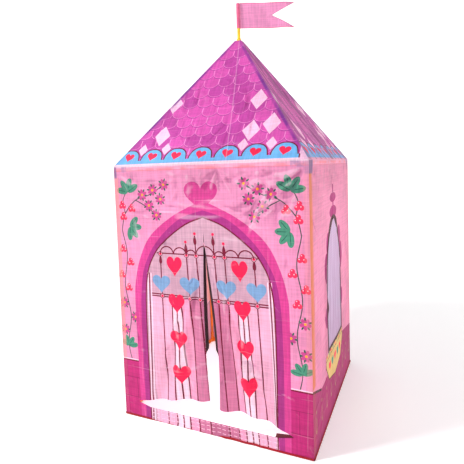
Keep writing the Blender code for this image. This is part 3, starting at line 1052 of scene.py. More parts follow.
def fanned(seed, count, start, headings, length, height):
    """Settings of wrinkles that spread from one pulled point, between two headings in degrees."""
    chance = random.Random(seed)
    return [
        (
            start,
            between(*map(math.radians, headings), (index + chance.uniform(*fan_stray_shares)) / count),
            length * chance.uniform(*fan_length_shares),
            chance.uniform(*wrinkle_widths),
            height * chance.uniform(*fan_height_shares) * chance.choice((-1, 1)),
        )
        for index in range(count)
    ]


def wall_fold(u, v):
    share = v / wall_panel.slant
    edge = 1 - (u / wall_panel.half(v)) ** 2
    wave = np.sin(math.pi * wall_folds * u / base_half + fold_drift * share)
    return wall_fold_depth * edge * np.sin(math.pi * np.clip(share, 0, 1)) ** 2 * wave


def rim_fade(u, v):
    """Nought along a wall's seams, its hem and its eave, and one away from them."""
    from_side = (wall_panel.half(v) - np.abs(u)) / edge_fade
    from_end = np.minimum(v, wall_panel.slant - v) / edge_fade
    return eased(np.minimum(from_side, from_end))


def wall_place(index, fold, rough):
    def place(u, v):
        return turned(wall_panel.place(u, v, fold(u, v) + rough(u, v)), index)

    return place


def crease_u(v):
    return door_half * (slit_top - v) / (slit_top - slot_height)


# Wrinkles strewn over each wall, and more over the front: their seed, their count, two corners of the box
# they start in, their heading in degrees and how far it strays
wall_wrinkles = (
    (50, 50, (-0.46, 0.1), (0.46, 1.25), 0, 0.12, fine_lengths, fine_heights),
    (20, 30, (-0.46, 0.1), (0.46, 1.25), 90, 0.35),
    (60, 22, (-0.42, 1.2), (0.45, 1.262), 270, 0.45, pucker_lengths),
)
front_wrinkles = (
    (3, 40, (-0.45, 0.95), (0.45, 1.24), 0, 0.15, fine_lengths),
    (7, 34, (0.18, 1.08), (0.47, 1.25), 215, 0.35),
)
# The front's fans of wrinkles: seed, count, pulled point, first and last heading, length and height
front_fans = (
    (5, 10, (0.08, 1.262), (205, 335), 0.16, 0.0036),
    (6, 12, (0.46, 1.255), (185, 262), 0.3, 0.0045),
    (8, 7, (0.27, 1.26), (190, 345), 0.2, 0.003),
    (9, 7, (-0.45, 1.25), (275, 345), 0.2, 0.0026),
)


def strewn(settings, index=0):
    """The wrinkles of several settings, with seeds that differ from panel to panel."""
    return [found for seed, *rest in settings for found in scattered(seed + index, *rest)]


def fans(settings):
    return [found for setting in settings for found in fanned(*setting)]


def wall_rough(side):
    """The wrinkles of one wall. Those of the front stop at the door's creases."""
    wrinkles = strewn(wall_wrinkles, SIDES.index(side))
    if side == "front":
        wrinkles += strewn(front_wrinkles) + fans(front_fans)

    def rough(u, v):
        held = summed(u, v, wrinkles) * rim_fade(u, v)
        return held * eased((np.abs(u) - crease_u(v)) / edge_fade) if side == "front" else held

    return rough


def front_fold(u, v):
    above_share = (v - slit_top) / (eave_height - slit_top)
    near_crease = (np.abs(u) - crease_u(v)) / edge_fade
    return wall_fold(u, v) * eased(above_share / fold_fade_share) * eased(near_crease)


threshold_slack = 0.005
threshold_folds = 9
threshold_round = 0.6
threshold_end = 0.136
threshold_drift = 1.5
threshold_drift_waves = 7
threshold_wave_share = 0.6
threshold_sink_share = 0.7


def threshold_fold(u, v):
    """Slack in the strip under the door, which hangs from its two ends."""
    height = np.sin(math.pi * np.clip(v / threshold_height, 0, 1) ** threshold_round) * (v < threshold_height)
    side = eased((threshold_half - np.abs(u)) / threshold_end)
    drift = threshold_drift * np.sin(threshold_drift_waves * u / threshold_half)
    wave = np.sin(math.pi * threshold_folds * u / threshold_half + drift)
    return threshold_slack * side * height * (threshold_wave_share * wave - threshold_sink_share)


free_edge_bow = 0.012
leaf_tries = 8
leaf_top_share = 0.999
crease_calm_share = 0.15
top_calm_share = 0.1
leaf_steps = 60


class Leaf:
    """One door flap. hand is 1 for the right one, seen from outside, and -1 for the left one."""

    def __init__(self, hand, foot_half, foot_height, foot_arch, wrinkles):
        self.hand = hand
        self.foot_half = foot_half
        self.foot_height = foot_height
        self.foot_arch = foot_arch
        self.wrinkles = wrinkles

    def inner(self, up):
        bow = free_edge_bow * np.sin(math.pi * up)
        u = between(slit_half, self.foot_half, np.sin(math.pi / 2 * (1 - up))) + bow
        return u, between(self.foot_height, slit_top, up)

    def foot(self, across):
        height = between(self.foot_height, slot_height, across) + self.foot_arch * np.sin(math.pi * across)
        return between(self.foot_half, door_half, across), height

    def shares(self, u, v):
        """How far a flat point lies from the free edge to the crease, and from the foot to the top."""
        across = np.clip(u / door_half, 0, 1)
        for _ in range(leaf_tries):
            _, foot = self.foot(across)
            up = np.clip((v - foot) / (slit_top - foot), 0, leaf_top_share)
            inner_u, _ = self.inner(up)
            outer_u = crease_u(between(slot_height, slit_top, up))
            across = np.clip((u - inner_u) / (outer_u - inner_u), 0, 1)
        return across, up

    def place(self, u, v):
        reach = np.abs(u)
        across, up = self.shares(u * self.hand, v)
        wave = np.sin(2 * math.pi * flap_folds * across) * eased((1 - across) / fold_fade_share)
        top_depth, foot_depth = wall_panel.half(slit_top), wall_panel.half(slot_height)
        depth = between(top_depth, foot_depth, reach / door_half) + flap_fold_depth * (1 - up) * wave
        return turned(np.stack((-u, depth + self.rough(u, v), v), axis=-1), front_index)

    def rough(self, u, v):
        across, up = self.shares(u * self.hand, v)
        calm = eased((1 - across) / crease_calm_share) * eased((1 - up) / top_calm_share)
        return summed(u, v, self.wrinkles) * calm

    def outline(self):
        inner = [self.inner(1 - step / leaf_steps) for step in range(1, leaf_steps + 1)]
        foot = [self.foot(step / leaf_steps) for step in range(1, leaf_steps + 1)]
        return [(float(self.hand * u), float(v)) for u, v in [(0, slit_top), *inner, *foot]]


# Looks

plain_density = 1.0
plain_detail = 2
fine_detail = 3
finest_detail = 4
bump_distance = 1.0


class Look:
    """A node material while it is put together."""

    def __init__(self, name):
        self.material = bpy.data.materials.new(name)
        self.material.use_nodes = True
        self.nodes = self.material.node_tree.nodes
        self.links = self.material.node_tree.links
        self.nodes.clear()

    def add(self, kind, inputs, **settings):
        made = self.nodes.new(kind)
        for key, value in settings.items():
            setattr(made, key, value)
        for key, value in inputs.items():
            if isinstance(value, bpy.types.NodeSocket):
                self.links.new(value, made.inputs[key])
            else:
                made.inputs[key].default_value = value
        return made

    def out(self, kind, inputs, **settings):
        return self.add(kind, inputs, **settings).outputs[0]

    def math(self, operation, first, second=0):
        return self.out("ShaderNodeMath", {0: first, 1: second}, operation=operation)

    def times(self, first, second):
        return self.math("MULTIPLY", first, second)

    def plus(self, first, second):
        return self.math("ADD", first, second)

    def scaled(self, value, rise, start):
        """The start, and the value times the rise on top of it."""
        return self.plus(self.times(value, rise), start)

    def lifted(self, value, low_share):
        """The value from nought to one, drawn up so that it starts at low_share."""
        return self.scaled(value, 1 - low_share, low_share)

    def ramp(self, value, start, end):
        """A smooth rise from nought at start to one at end, or a fall where end is under start."""
        inputs = {"Value": value, "From Min": start, "From Max": end}
        return self.out("ShaderNodeMapRange", inputs, interpolation_type="SMOOTHSTEP")

    def band(self, value, low, high, soft):
        """One from low to high and nought outside, with soft ends."""
        rise = self.ramp(value, low - soft, low + soft)
        return self.times(rise, self.ramp(value, high + soft, high - soft))

    def line(self, value, place, half, soft):
        """One within half a width of the place and nought outside, with soft ends."""
        return self.band(value, place - half, place + half, soft)

    def mix(self, share, first, second, blend="MIX"):
        made = self.add("ShaderNodeMix", {0: share, 6: first, 7: second}, data_type="RGBA", blend_type=blend)
        return made.outputs[2]

    def tint(self, colour, where_share, share, ink):
        """The colour drawn towards an ink, by this share where where_share is one."""
        return self.mix(self.times(where_share, share), colour, linear(ink))

    def noise(self, where, scale, detail=plain_detail, distortion=0):
        inputs = {"Vector": where, "Scale": scale, "Detail": detail, "Distortion": distortion}
        return self.add("ShaderNodeTexNoise", inputs).outputs["Fac"]

    def streaks(self, where, densities, distortion=0):
        """Noise drawn out by unlike densities."""
        held = self.out("ShaderNodeMapping", {"Vector": where, "Scale": densities})
        return self.noise(held, plain_density, fine_detail, distortion)

    def threads(self, where, density, operation):
        """Threads both ways, put together by the operation."""
        found = 0
        for direction in ("X", "Y"):
            inputs = {"Vector": where, "Scale": density}
            wave = self.add("ShaderNodeTexWave", inputs, bands_direction=direction)
            found = self.math(operation, wave.outputs["Fac"], found)
        return found

    def bump(self, height, strength_share=1):
        inputs = {"Height": height, "Strength": strength_share, "Distance": bump_distance}
        return self.out("ShaderNodeBump", inputs)

    def shaders(self, share, first, second):
        return self.out("ShaderNodeMixShader", {0: share, 1: first, 2: second})

    def finish(self, surface):
        self.add("ShaderNodeOutputMaterial", {"Surface": surface})
        return self.material


tone_low_share = 0.78
patch_tone_share = 0.14
up_streak_share = 0.17
cross_streak_share = 0.14
patch_density = 4.5
up_streak_densities = (110.0, 7.0, 1.0)
cross_streak_densities = (6.0, 120.0, 1.0)
noise_range_shares = (0.32, 0.68)
crumple_density = 8.0
crumple_detail = 4
crumple_rough_share = 0.55
crumple_offset = 0.85
crumple_gain = 1.6
crumple_bend = 0.5
crumple_range = (1.15, 2.2)
crumple_height = 0.003
fine_density = 110.0
fine_height = 0.0006
mark_height = 0.0007
weave_density = 41.6666667
weave_height = 0.00004
crease_pitch = 0.17
crease_shifts = (0.031, 0.06)
crease_wobble = 0.012
crease_soft = 0.0024
crease_width = 0.0005
wobble_density = 3.0
break_density = 7.0
fold_break_range_shares = (0.42, 0.62)
# Painted highlight on the wrinkles' ridges and painted shade in their hollows: where they start and end in
# the relief, and how strong they are
ridge_highlight_range = (0.0006, 0.0032)
ridge_highlight_share = 0.26
hollow_range = (-0.0006, -0.0032)
hollow_share = 0.55
back_share = 0.35
cloth_bump_share = 0.9
cloth_rough_shares = (0.2, 0.45)
sheen_share = 0.06
sheen_rough_share = 0.5
gloss_share = 0.3


def folded_marks(look, where, u, v):
    """The lines where the cloth was folded for its bag, broken up here and there by noise."""
    wobble = look.times(look.noise(where, wobble_density), crease_wobble)
    marks = 0
    for axis, shift in zip((u, v), crease_shifts):
        shifted = look.plus(look.plus(axis, shift), wobble)
        distance = look.math("PINGPONG", shifted, crease_pitch / 2)
        marks = look.math("MAXIMUM", look.ramp(distance, crease_soft, crease_width), marks)
    return look.times(marks, look.ramp(look.noise(where, break_density), *fold_break_range_shares))


def toned(look, where, ink, streak_share):
    """The print with the shades of slack cloth: broad patches, and streaks up and across."""
    patches = look.ramp(look.noise(where, patch_density, fine_detail), *noise_range_shares)
    tone = look.scaled(patches, patch_tone_share, tone_low_share)
    both = ((up_streak_densities, streak_share), (cross_streak_densities, cross_streak_share))
    for densities, share in both:
        streaks = look.ramp(look.streaks(where, densities), *noise_range_shares)
        tone = look.scaled(streaks, share, tone)
    return look.mix(1, ink, tone, "MULTIPLY")


def from_edge(look, panel, u, v):
    """How far a point of the panel lies inside its slanting edge."""
    half = look.math("SUBTRACT", panel.low_half, look.times(v, panel.run / panel.slant))
    return look.math("SUBTRACT", half, look.math("ABSOLUTE", u))


# Where the frame's tubes and connectors show through a wall: how far in from its seam, and how high
post_face_fade = (0.02, 0.027)
post_side_fade = (0.03, 0.07)
connector_face_band = (0.002, 0.015)
connector_side_band = (0.0, 0.064)
connector_low = 1.23
connector_high = 1.284
arm_band = (0.018, 0.075)
arm_low = 1.258
rail_half = 0.006
rail_height_face = 1.268
rail_height_side = 1.274
band_soft = 0.004
mottle_density = 28.0
mottle_range_shares = (0.38, 0.6)
broken_density = 12.0
broken_range_shares = (0.4, 0.58)
rail_share = 0.5
right_fade = 0.1
foot_share = 0.15
arm_share = 0.6
connector_share = 0.8
# For each kind of wall: the post's fade, the connector's band, the rail's height, the post's tint, its share,
# and how much of that share is left on the wall's right
wall_shares = {
    "face wall": (post_face_fade, connector_face_band, rail_height_face, post_face_tint, 0.55, 0.3),
    "side wall": (post_side_fade, connector_side_band, rail_height_side, post_side_tint, 0.9, 0.15),
}


def wall_tints(look, where, u, v, colour, post, connector, rail_place, post_colour, post_share, right_share):
    """The posts, the connectors with their arms, and the rail that show through a wall."""
    inside = from_edge(look, wall_panel, u, v)
    mottle = look.ramp(look.noise(where, mottle_density, fine_detail), *mottle_range_shares)
    broken = look.ramp(look.noise(where, broken_density, fine_detail), *broken_range_shares)
    rail = look.times(look.line(v, rail_place, rail_half, rail_half / 2), broken)
    colour = look.tint(colour, rail, rail_share, rail_tint)
    shown = look.lifted(look.ramp(u, right_fade, 0), right_share)
    above_foot = look.lifted(look.ramp(v, base_top - band_soft, base_top + band_soft), foot_share)
    inside_post = look.times(look.times(look.ramp(inside, *reversed(post)), shown), above_foot)
    low = look.times(inside_post, look.ramp(v, connector_low + band_soft, connector_low))
    colour = look.tint(colour, low, post_share, post_colour)
    arm_height = look.band(v, arm_low, connector_high, band_soft)
    arm = look.times(look.band(inside, *arm_band, band_soft), arm_height)
    colour = look.tint(colour, look.times(arm, mottle), arm_share, arm_tint)
    inside_connector = look.times(look.band(inside, *connector, band_soft), shown)
    high = look.times(inside_connector, look.band(v, connector_low, connector_high, band_soft))
    return look.tint(colour, high, connector_share, connector_tint)


# The rafters painted as a dark strip where they show through along each hip: its place and width, how it
# fades low down, how it is broken up and how strong it is
hip_strip_place = 0.008
hip_strip_half = 0.008
hip_strip_soft = 0.005
hip_fade = (0.07, 0.11)
hip_low_share = 0.35
hip_break_range_shares = (0.4, 0.58)
hip_break_share = 0.4
hip_share = 0.85
roof_fold_lean = 0.143
roof_fold_half = 0.0022
# The shaded and the lit side of the roof's long fold: its place, share and ink
roof_fold_shares = ((0.1266, 0.18, rafter_tint), (0.12, 0.2, highlight_and_pale_white))


def roof_tints(look, where, u, v, colour):
    """The rafters along both hips, painted as broken dark strips where they show through the cloth, and the
    painted shade and highlight of the long fold that runs down beside the middle.
    """
    strip = look.line(from_edge(look, roof_panel, u, v), hip_strip_place, hip_strip_half, hip_strip_soft)
    risen = look.lifted(look.ramp(v, *hip_fade), hip_low_share)
    hip_breaks = look.lifted(look.ramp(look.noise(where, break_density), *hip_break_range_shares), hip_break_share)
    colour = look.tint(colour, look.times(strip, look.times(risen, hip_breaks)), hip_share, rafter_tint)
    across = look.scaled(v, roof_fold_lean, u)
    for place, share, ink in roof_fold_shares:
        colour = look.tint(colour, look.line(across, place, roof_fold_half, roof_fold_half), share, ink)
    return colour


# Streaks of painted shade and painted highlight down the roof's side panels
slope_streak_densities = (24.0, 2.4, 1.0)
slope_streak_bend = 0.5
slope_shade_range_shares = (0.55, 0.38)
slope_shade_share = 0.8
slope_highlight_range_shares = (0.55, 0.68)
slope_highlight_share = 0.36


def slope_streaks(look, where, colour):
    """Painted shade and painted highlight of the long folds of a roof panel that is drawn tight down its
    slope, as dark and pale streaks.
    """
    streaks = look.streaks(where, slope_streak_densities, slope_streak_bend)
    colour = look.tint(colour, look.ramp(streaks, *slope_shade_range_shares), slope_shade_share, slope_shade_violet)
    return look.tint(colour, look.ramp(streaks, *slope_highlight_range_shares), slope_highlight_share, slope_highlight_pale)


def printed_cloth(
    name, kind, through_share=0.25, crease_share=0.14, streak_share=up_streak_share, highlight_share=0.4,
):
    """Thin woven polyester with its print and fold marks, and what lies behind it showing through."""
    look = Look(name)
    where = look.out("ShaderNodeUVMap", {}, uv_map=PANEL_MAP)
    u, v, _ = look.add("ShaderNodeSeparateXYZ", {0: where}).outputs
    ink = look.add("ShaderNodeAttribute", {}, attribute_name=PRINT).outputs["Color"]
    relief = look.add("ShaderNodeAttribute", {}, attribute_name=RELIEF).outputs["Fac"]
    crumple = look.add("ShaderNodeTexNoise", {
        "Vector": where, "Scale": crumple_density, "Detail": crumple_detail, "Roughness": crumple_rough_share,
        "Offset": crumple_offset, "Gain": crumple_gain, "Distortion": crumple_bend,
    }, noise_type="RIDGED_MULTIFRACTAL").outputs["Fac"]
    marks = folded_marks(look, where, u, v)
    colour = toned(look, where, ink, streak_share)
    # Painted highlights on the crumples
    colour = look.tint(colour, look.ramp(crumple, *crumple_range), highlight_share, highlight_and_pale_white)
    # Painted highlight on the wrinkles' ridges, and painted shade in their hollows
    colour = look.tint(colour, look.ramp(relief, *ridge_highlight_range), ridge_highlight_share, highlight_and_pale_white)
    hollow = look.times(look.ramp(relief, *hollow_range), hollow_share)
    colour = look.mix(hollow, colour, linear(hollow_shade), "MULTIPLY")
    colour = look.tint(colour, marks, crease_share, highlight_and_pale_white)
    if kind in wall_shares:
        colour = wall_tints(look, where, u, v, colour, *wall_shares[kind])
    # The roof's side panels get painted shade and highlight of their long folds
    if kind == "side roof":
        colour = slope_streaks(look, where, colour)
    if kind in ("roof", "side roof"):
        colour = roof_tints(look, where, u, v, colour)
    if kind != "dense":
        back = look.add("ShaderNodeNewGeometry", {}).outputs["Backfacing"]
        colour = look.tint(colour, back, back_share, highlight_and_pale_white)
    weave = look.threads(where, weave_density, "ADD")
    fine = look.noise(where, fine_density)
    height = look.times(crumple, crumple_height)
    for part, rise in ((fine, fine_height), (marks, mark_height), (weave, weave_height)):
        height = look.scaled(part, rise, height)
    bump = look.bump(height, cloth_bump_share)
    cloth = look.out("ShaderNodeBsdfPrincipled", {
        "Base Color": colour, "Roughness": look.scaled(look.noise(where, patch_density), *cloth_rough_shares),
        "Normal": bump, "Sheen Weight": sheen_share, "Sheen Roughness": sheen_rough_share,
        "Specular IOR Level": gloss_share,
    })
    glow = look.out("ShaderNodeBsdfTranslucent", {"Color": colour, "Normal": bump})
    return look.finish(look.shaders(through_share, cloth, glow))


net_streak_densities = (40.0, 3.0, 1.0)
net_thread_density = 25.0
net_thread_height = 0.0003
net_streak_range_shares = (0.3, 0.7)
net_rough_shares = (0.2, 0.6)
net_glow_share = 0.4
net_cover_shares = (0.12, 0.8)


def net_look():
    """Sheer knitted net: fine threads, with a little to be seen between them."""
    look = Look("window_net_lilac")
    where = look.out("ShaderNodeUVMap", {}, uv_map=PANEL_MAP)
    streaks = look.streaks(where, net_streak_densities)
    colour = look.mix(look.ramp(streaks, *net_streak_range_shares), linear(net_shade), linear(net_lilac))
    knit = look.threads(where, net_thread_density, "MAXIMUM")
    thread = look.out("ShaderNodeBsdfPrincipled", {
        "Base Color": colour, "Roughness": look.scaled(streaks, *net_rough_shares),
        "Normal": look.bump(look.times(knit, net_thread_height)),
    })
    glow = look.out("ShaderNodeBsdfTranslucent", {"Color": colour})
    clear = look.out("ShaderNodeBsdfTransparent", {})
    body = look.shaders(net_glow_share, thread, glow)
    return look.finish(look.shaders(look.scaled(knit, *net_cover_shares), clear, body))


flow_density = 18.0
flow_bend = 0.8
flow_range_shares = (0.35, 0.7)
flow_dark_share = 0.86
scuff_density = 160.0
scuff_range_shares = (0.62, 0.75)
scuff_share = 0.25
scuff_rough_share = 0.18
scuff_height = 0.0002


def plastic_look(name, colour, rough_share):
    """Moulded plastic with faint flow marks and scuffs."""
    look = Look(name)
    where = look.add("ShaderNodeTexCoord", {}).outputs["Object"]
    flow = look.ramp(look.noise(where, flow_density, fine_detail, flow_bend), *flow_range_shares)
    scuff = look.noise(where, scuff_density, finest_detail)
    tint = look.mix(flow, linear(colour), linear([flow_dark_share * share for share in colour]))
    tint = look.tint(tint, look.ramp(scuff, *scuff_range_shares), scuff_share, highlight_and_pale_white)
    return look.finish(look.out("ShaderNodeBsdfPrincipled", {
        "Base Color": tint, "Roughness": look.scaled(scuff, scuff_rough_share, rough_share),
        "Normal": look.bump(look.times(scuff, scuff_height)),
    }))


floor_glow_near = 0.33
floor_glow_far = 0.42
floor_glow_start = 0.6
floor_glow_end = 3.5
glow_side_start = -3.5
glow_side_end = -0.4
floor_tone_density = 0.7
floor_rough_share = 0.8


def floor_look():
    """White board that glows away from the tent and behind it, so that floor and backdrop are one white."""
    look = Look("studio_floor")
    where = look.add("ShaderNodeTexCoord", {}).outputs["Object"]
    tone = look.mix(look.noise(where, floor_tone_density), linear(floor_white), linear(floor_bright))
    away = look.add("ShaderNodeVectorMath", {0: where}, operation="LENGTH").outputs["Value"]
    glow = look.out("ShaderNodeMapRange", {
        "Value": away, "From Min": floor_glow_start, "From Max": floor_glow_end, "To Min": floor_glow_near,
        "To Max": floor_glow_far,
    })
    level = look.add("ShaderNodeSeparateXYZ", {0: where}).outputs[1]
    return look.finish(look.out("ShaderNodeBsdfPrincipled", {
        "Base Color": tone, "Roughness": floor_rough_share, "Emission Color": white,
        "Emission Strength": look.times(glow, look.ramp(level, glow_side_start, glow_side_end)),
    }))


face_wall_look = printed_cloth("printed_wall_cloth", "face wall")
side_wall_look = printed_cloth("printed_side_wall_cloth", "side wall")
leaf_look = printed_cloth("printed_door_cloth", "leaf")
face_roof_look = printed_cloth(
    "printed_roof_cloth", "roof", through_share=0.18, crease_share=0.12, highlight_share=0.16,
)
side_roof_look = printed_cloth(
    "printed_side_roof_cloth", "side roof",
    through_share=0.14, crease_share=0.12, streak_share=0.3, highlight_share=0.15,
)
plain_look = printed_cloth("plain_cloth", "plain", crease_share=0.15)
dense_look = printed_cloth(
    "dense_cloth", "dense", through_share=0.04, crease_share=0.03, highlight_share=0.06,
)
sheer_look = net_look()


# The cover

def door_opening():
    right = [(threshold_half, threshold_height), (slot_half, slot_tip_height), (door_half, slot_height)]
    return [*right, (0, slit_top), *((-u, v) for u, v in reversed(right))]


def declare(outline, holes):
    """Works out the sheet's flat area, less its holes; the result is not used."""
    area = flat_area(outline) - sum(flat_area(hole) for hole in holes)


# The binding's section, out from the wall and up: folded about the cloth's edge, and rolled a little outward
tape_height = 0.0105
tape_held = 0.004
tape_end_gap = 0.001
tape_steps = 90
tape_section = (
    (-0.001, tape_height), (-0.0014, 0.004), (-0.0009, 0.0005), (0.0022, 0.0003),
    (0.0046, 0.0018), (0.005, 0.0045), (0.0036, 0.0078), (0.0012, tape_height),
)
# Where the front's binding is turned under, seen from outside, and how much of it shows there
turned_from = -0.36
turned_to = 0.08
turned_show_share = 0.3


def hem_tape(side, place):
    """A red binding folded over the wall's lower edge."""
    index = SIDES.index(side)
    rows = []
    u = np.linspace(tape_end_gap - base_half, base_half - tape_end_gap, tape_steps)
    shown = np.ones(tape_steps)
    if side == "front":
        inside = np.minimum(u - turned_from, turned_to - u) / edge_fade
        shown -= (1 - turned_show_share) * eased(inside)
    for out, high in tape_section:
        v = high * shown
        held = np.maximum(v, tape_held)
        shift = turned(wall_panel.place(u, v, out * shown), index)
        plain = turned(wall_panel.place(u, held, np.zeros(tape_steps)), index)
        rows.append((shift + place(u, held) - plain).tolist())
    piece = grid_piece(f"{side}_hem_binding", rows[::-1], dense_look, tape_red)
    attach(piece, "tent")
    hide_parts(f"{side}_hem_tape")
    return piece


def walls():
    """The four walls with what is sewn on them, and the nets in the windows."""
    def slack(u, v):
        return front_fold(u, v) + threshold_fold(u, v)

    window = [lancet(0, 0)]
    holes = {"front": [door_opening()], "back": [], "left": window, "right": window}
    prints = {"front": vine_print(surround, gate), "back": vine_print()}
    outline = wall_panel.outline
    for index, side in enumerate(SIDES):
        rough = wall_rough(side)
        place = wall_place(index, slack if side == "front" else wall_fold, rough)
        has_window = side in ("left", "right")
        art = window_print() if has_window else prints[side]
        ground = side_wall_pink if has_window else wall_pink
        look = side_wall_look if has_window else face_wall_look
        wall = cloth_piece(f"{side}_wall_cloth", outline, holes[side], art, ground, place, look, rough)
        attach(wall, "tent")
        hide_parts(f"{side}_wall")
        sewn_on = [hem_tape(side, place)]
        if has_window:
            sewn_on.append(window_facing(side, index, rough))
        declare(outline, holes[side])
        if has_window:
            opening = lancet(-net_inset, -net_inset)
            net = cloth_piece(f"{side}_window_sheer", opening, [], [], net_lilac, place, sheer_look)
            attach(net, "tent")
            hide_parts(f"{side}_window_net")
            declare(opening, [])


facing_margin = 0.018
facing_point_margin = 0.006
facing_out = 0.0015


def window_facing(side, index, rough):
    """The band sewn about the window's opening, on the outside, which narrows the net that is left free."""
    def lifted(u, v):
        return wall_fold(u, v) + facing_out

    outline = lancet(facing_margin, facing_point_margin)
    art = []
    window_frame(art)
    place = wall_place(index, lifted, rough)
    holes = [window_edge(0)]
    facing = cloth_piece(f"{side}_window_facing", outline, holes, art, side_wall_pink, place, plain_look)
    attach(facing, "tent")
    return facing


# The dark strip behind the slot's right end, painted shade of the inside: its outline, and how far behind the
# wall it lies
slot_shade_outline = ((0.322, 0.062), (0.413, 0.083), (0.413, 0.089), (0.402, 0.096), (0.33, 0.087))
slot_shade_depth = 0.0035


def slot_shade_piece():
    """A dark strip behind the right end of the slot under the door, painted shade of the inside seen there.
    """
    def place(u, v):
        return turned(wall_panel.place(u, v, np.full_like(u, -slot_shade_depth)), front_index)

    outline = list(slot_shade_outline)
    piece = cloth_piece("slot_painted_shade", outline, [], [], slot_shade_brown, place, dense_look)
    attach(piece, "tent")
    declare(outline, [])


# Wrinkles of a flap: their seed, their count, the lowest and highest start, their heading in degrees and how
# far it strays
leaf_wrinkles = ((30, 16, 0.2, 0.6, 85, 0.25), (70, 16, 0.25, 0.7, 15, 0.35, fine_lengths))
leaf_wrinkle_near = 0.05
leaf_wrinkle_far = 0.3


def leaves():
    """Both flaps of the door, each with its facing in near black painted shade."""
    art = vine_print(surround, gate)
    for name, hand, body, foot in (
        ("left", -1, "door_left", (left_foot_half, left_foot_height, left_foot_arch)),
        ("right", 1, "door_right", (right_foot_half, right_foot_height, right_foot_arch)),
    ):
        near, far = sorted((hand * leaf_wrinkle_near, hand * leaf_wrinkle_far))
        wrinkles = strewn([
            (seed, count, (near, low), (far, high), *rest) for seed, count, low, high, *rest in leaf_wrinkles
        ], hand)
        leaf = Leaf(hand, *foot, wrinkles)
        outline = leaf.outline()
        piece = cloth_piece(
            f"door_leaf_{name}", outline, [], art, leaf_pink, leaf.place, leaf_look, leaf.rough,
        )
        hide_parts(f"door_flap_{name}")
        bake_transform(piece)
        hem = leaf_hem(name, leaf)
        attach(hem, body)
        declare(outline, [])


facing_foot = 0.4
facing_gap_share = 0.36
facing_depth = 0.012
facing_turn = math.radians(112)
facing_reaches = {-1: 0.013, 1: 0.017}
facing_top_share = 0.985
facing_steps = 60
facing_bends = 8
facing_end_share = 0.06


def leaf_hem(name, leaf):
    """The facing along the upper part of a flap's free edge, turned in behind it, in near black as painted
    shade of the dark inside.
    """
    foot_up = (facing_foot - leaf.foot_height) / (slit_top - leaf.foot_height)
    ups = np.linspace(facing_top_share, foot_up, facing_steps)
    inner_u, inner_v = leaf.inner(ups)
    edge = leaf.place(leaf.hand * inner_u, inner_v)
    reach = np.minimum(facing_reaches[leaf.hand], facing_gap_share * 2 * inner_u)
    along = np.linspace(0, 1, facing_steps)
    swell = eased(np.minimum(along, 1 - along) / facing_end_share)
    rows = []
    for share in np.linspace(0, 1, facing_bends):
        angle = share * facing_turn
        toward = reach * math.sin(angle) * swell
        back = facing_depth * (1 - math.cos(angle)) * swell + net_inset
        rows.append((edge + np.stack((-leaf.hand * toward, back, np.zeros(facing_steps)), axis=-1)).tolist())
    if leaf.hand < 0:
        rows = rows[::-1]
    piece = grid_piece(f"door_leaf_{name}_facing", rows, dense_look, inside_shade_maroon)
    return piece


roof_wrinkles = ((40, 26, (-0.3, 0.06), (0.3, 0.5), 90, 0.3),)


def roof():
    """The four panels of the roof."""
    for index, side in enumerate(SIDES):
        is_face = side in ("front", "back")
        art = roof_print(pale_pink if is_face else band_pink)
        wrinkles = strewn(roof_wrinkles, index)

        def rough(u, v, wrinkles=wrinkles):
            inside = np.minimum(roof_panel.half(v) - np.abs(u), np.minimum(v, roof_panel.slant - v))
            return summed(u, v, wrinkles) * eased(inside / edge_fade)

        def place(u, v, index=index, rough=rough):
            inside = 1 - (u / roof_panel.half(v)) ** 2
            sag = roof_sag * inside * np.sin(math.pi * np.clip(v / roof_panel.slant, 0, 1)) ** 2
            return turned(roof_panel.place(u, v, rough(u, v) - sag), index)

        outline = roof_panel.outline
        look = face_roof_look if is_face else side_roof_look
        gore = cloth_piece(f"{side}_roof_cloth", outline, [], art, tile_dark, place, look, rough)
        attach(gore, "tent")
        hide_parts(f"{side}_roof_gore")
        declare(outline, [])


flag_waves = 1.5
ripple_height = 0.0016
ripple_waves = (60, 40)
sleeve_sides = 24
# The sleeve from its foot up: how far out from its radius, and how high
sleeve_section = (
    (0.0, 0.0), (0.0002, 0.02), (-0.0002, 0.05), (0.0003, 0.08),
    (0, 0.11), (-0.0004, 0.1195), (-0.004, 0.1215), (-0.0085, 0.1218),
)


def flag():
    """The pennant and its sleeve about the stick."""
    foot = stick_top_height + sleeve_cap - flag_height
    start = sleeve_radius

    def place(u, v):
        share = np.clip((u - start) / (flag_length - start), 0, 1)
        wave = flag_wave * share * np.sin(2 * math.pi * flag_waves * share + v / flag_height)
        ripple = ripple_height * share * np.sin(ripple_waves[0] * u + ripple_waves[1] * v)
        level = -(wave + ripple)
        x = u * math.cos(flag_turn) - level * math.sin(flag_turn)
        y = u * math.sin(flag_turn) + level * math.cos(flag_turn)
        return np.stack((x, y, foot + v), axis=-1)

    outline = [
        (start, 0), (flag_length, 0), (flag_length - flag_notch, flag_height / 2),
        (flag_length, flag_height), (start, flag_height),
    ]
    piece = cloth_piece("flag_cloth_piece", outline, [], flag_print(), flag_pink, place, plain_look)
    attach(piece, "pennant")
    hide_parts("flag")
    rows = [round_row(sleeve_radius + out, foot + height, sleeve_sides) for out, height in sleeve_section]
    sleeve = grid_piece("flag_sleeve_piece", rows, plain_look, flag_sleeve_pink)
    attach(sleeve, "pennant")
    declare(outline, [])


plain_rough_share = 0.3
blue_rough_share = 0.35


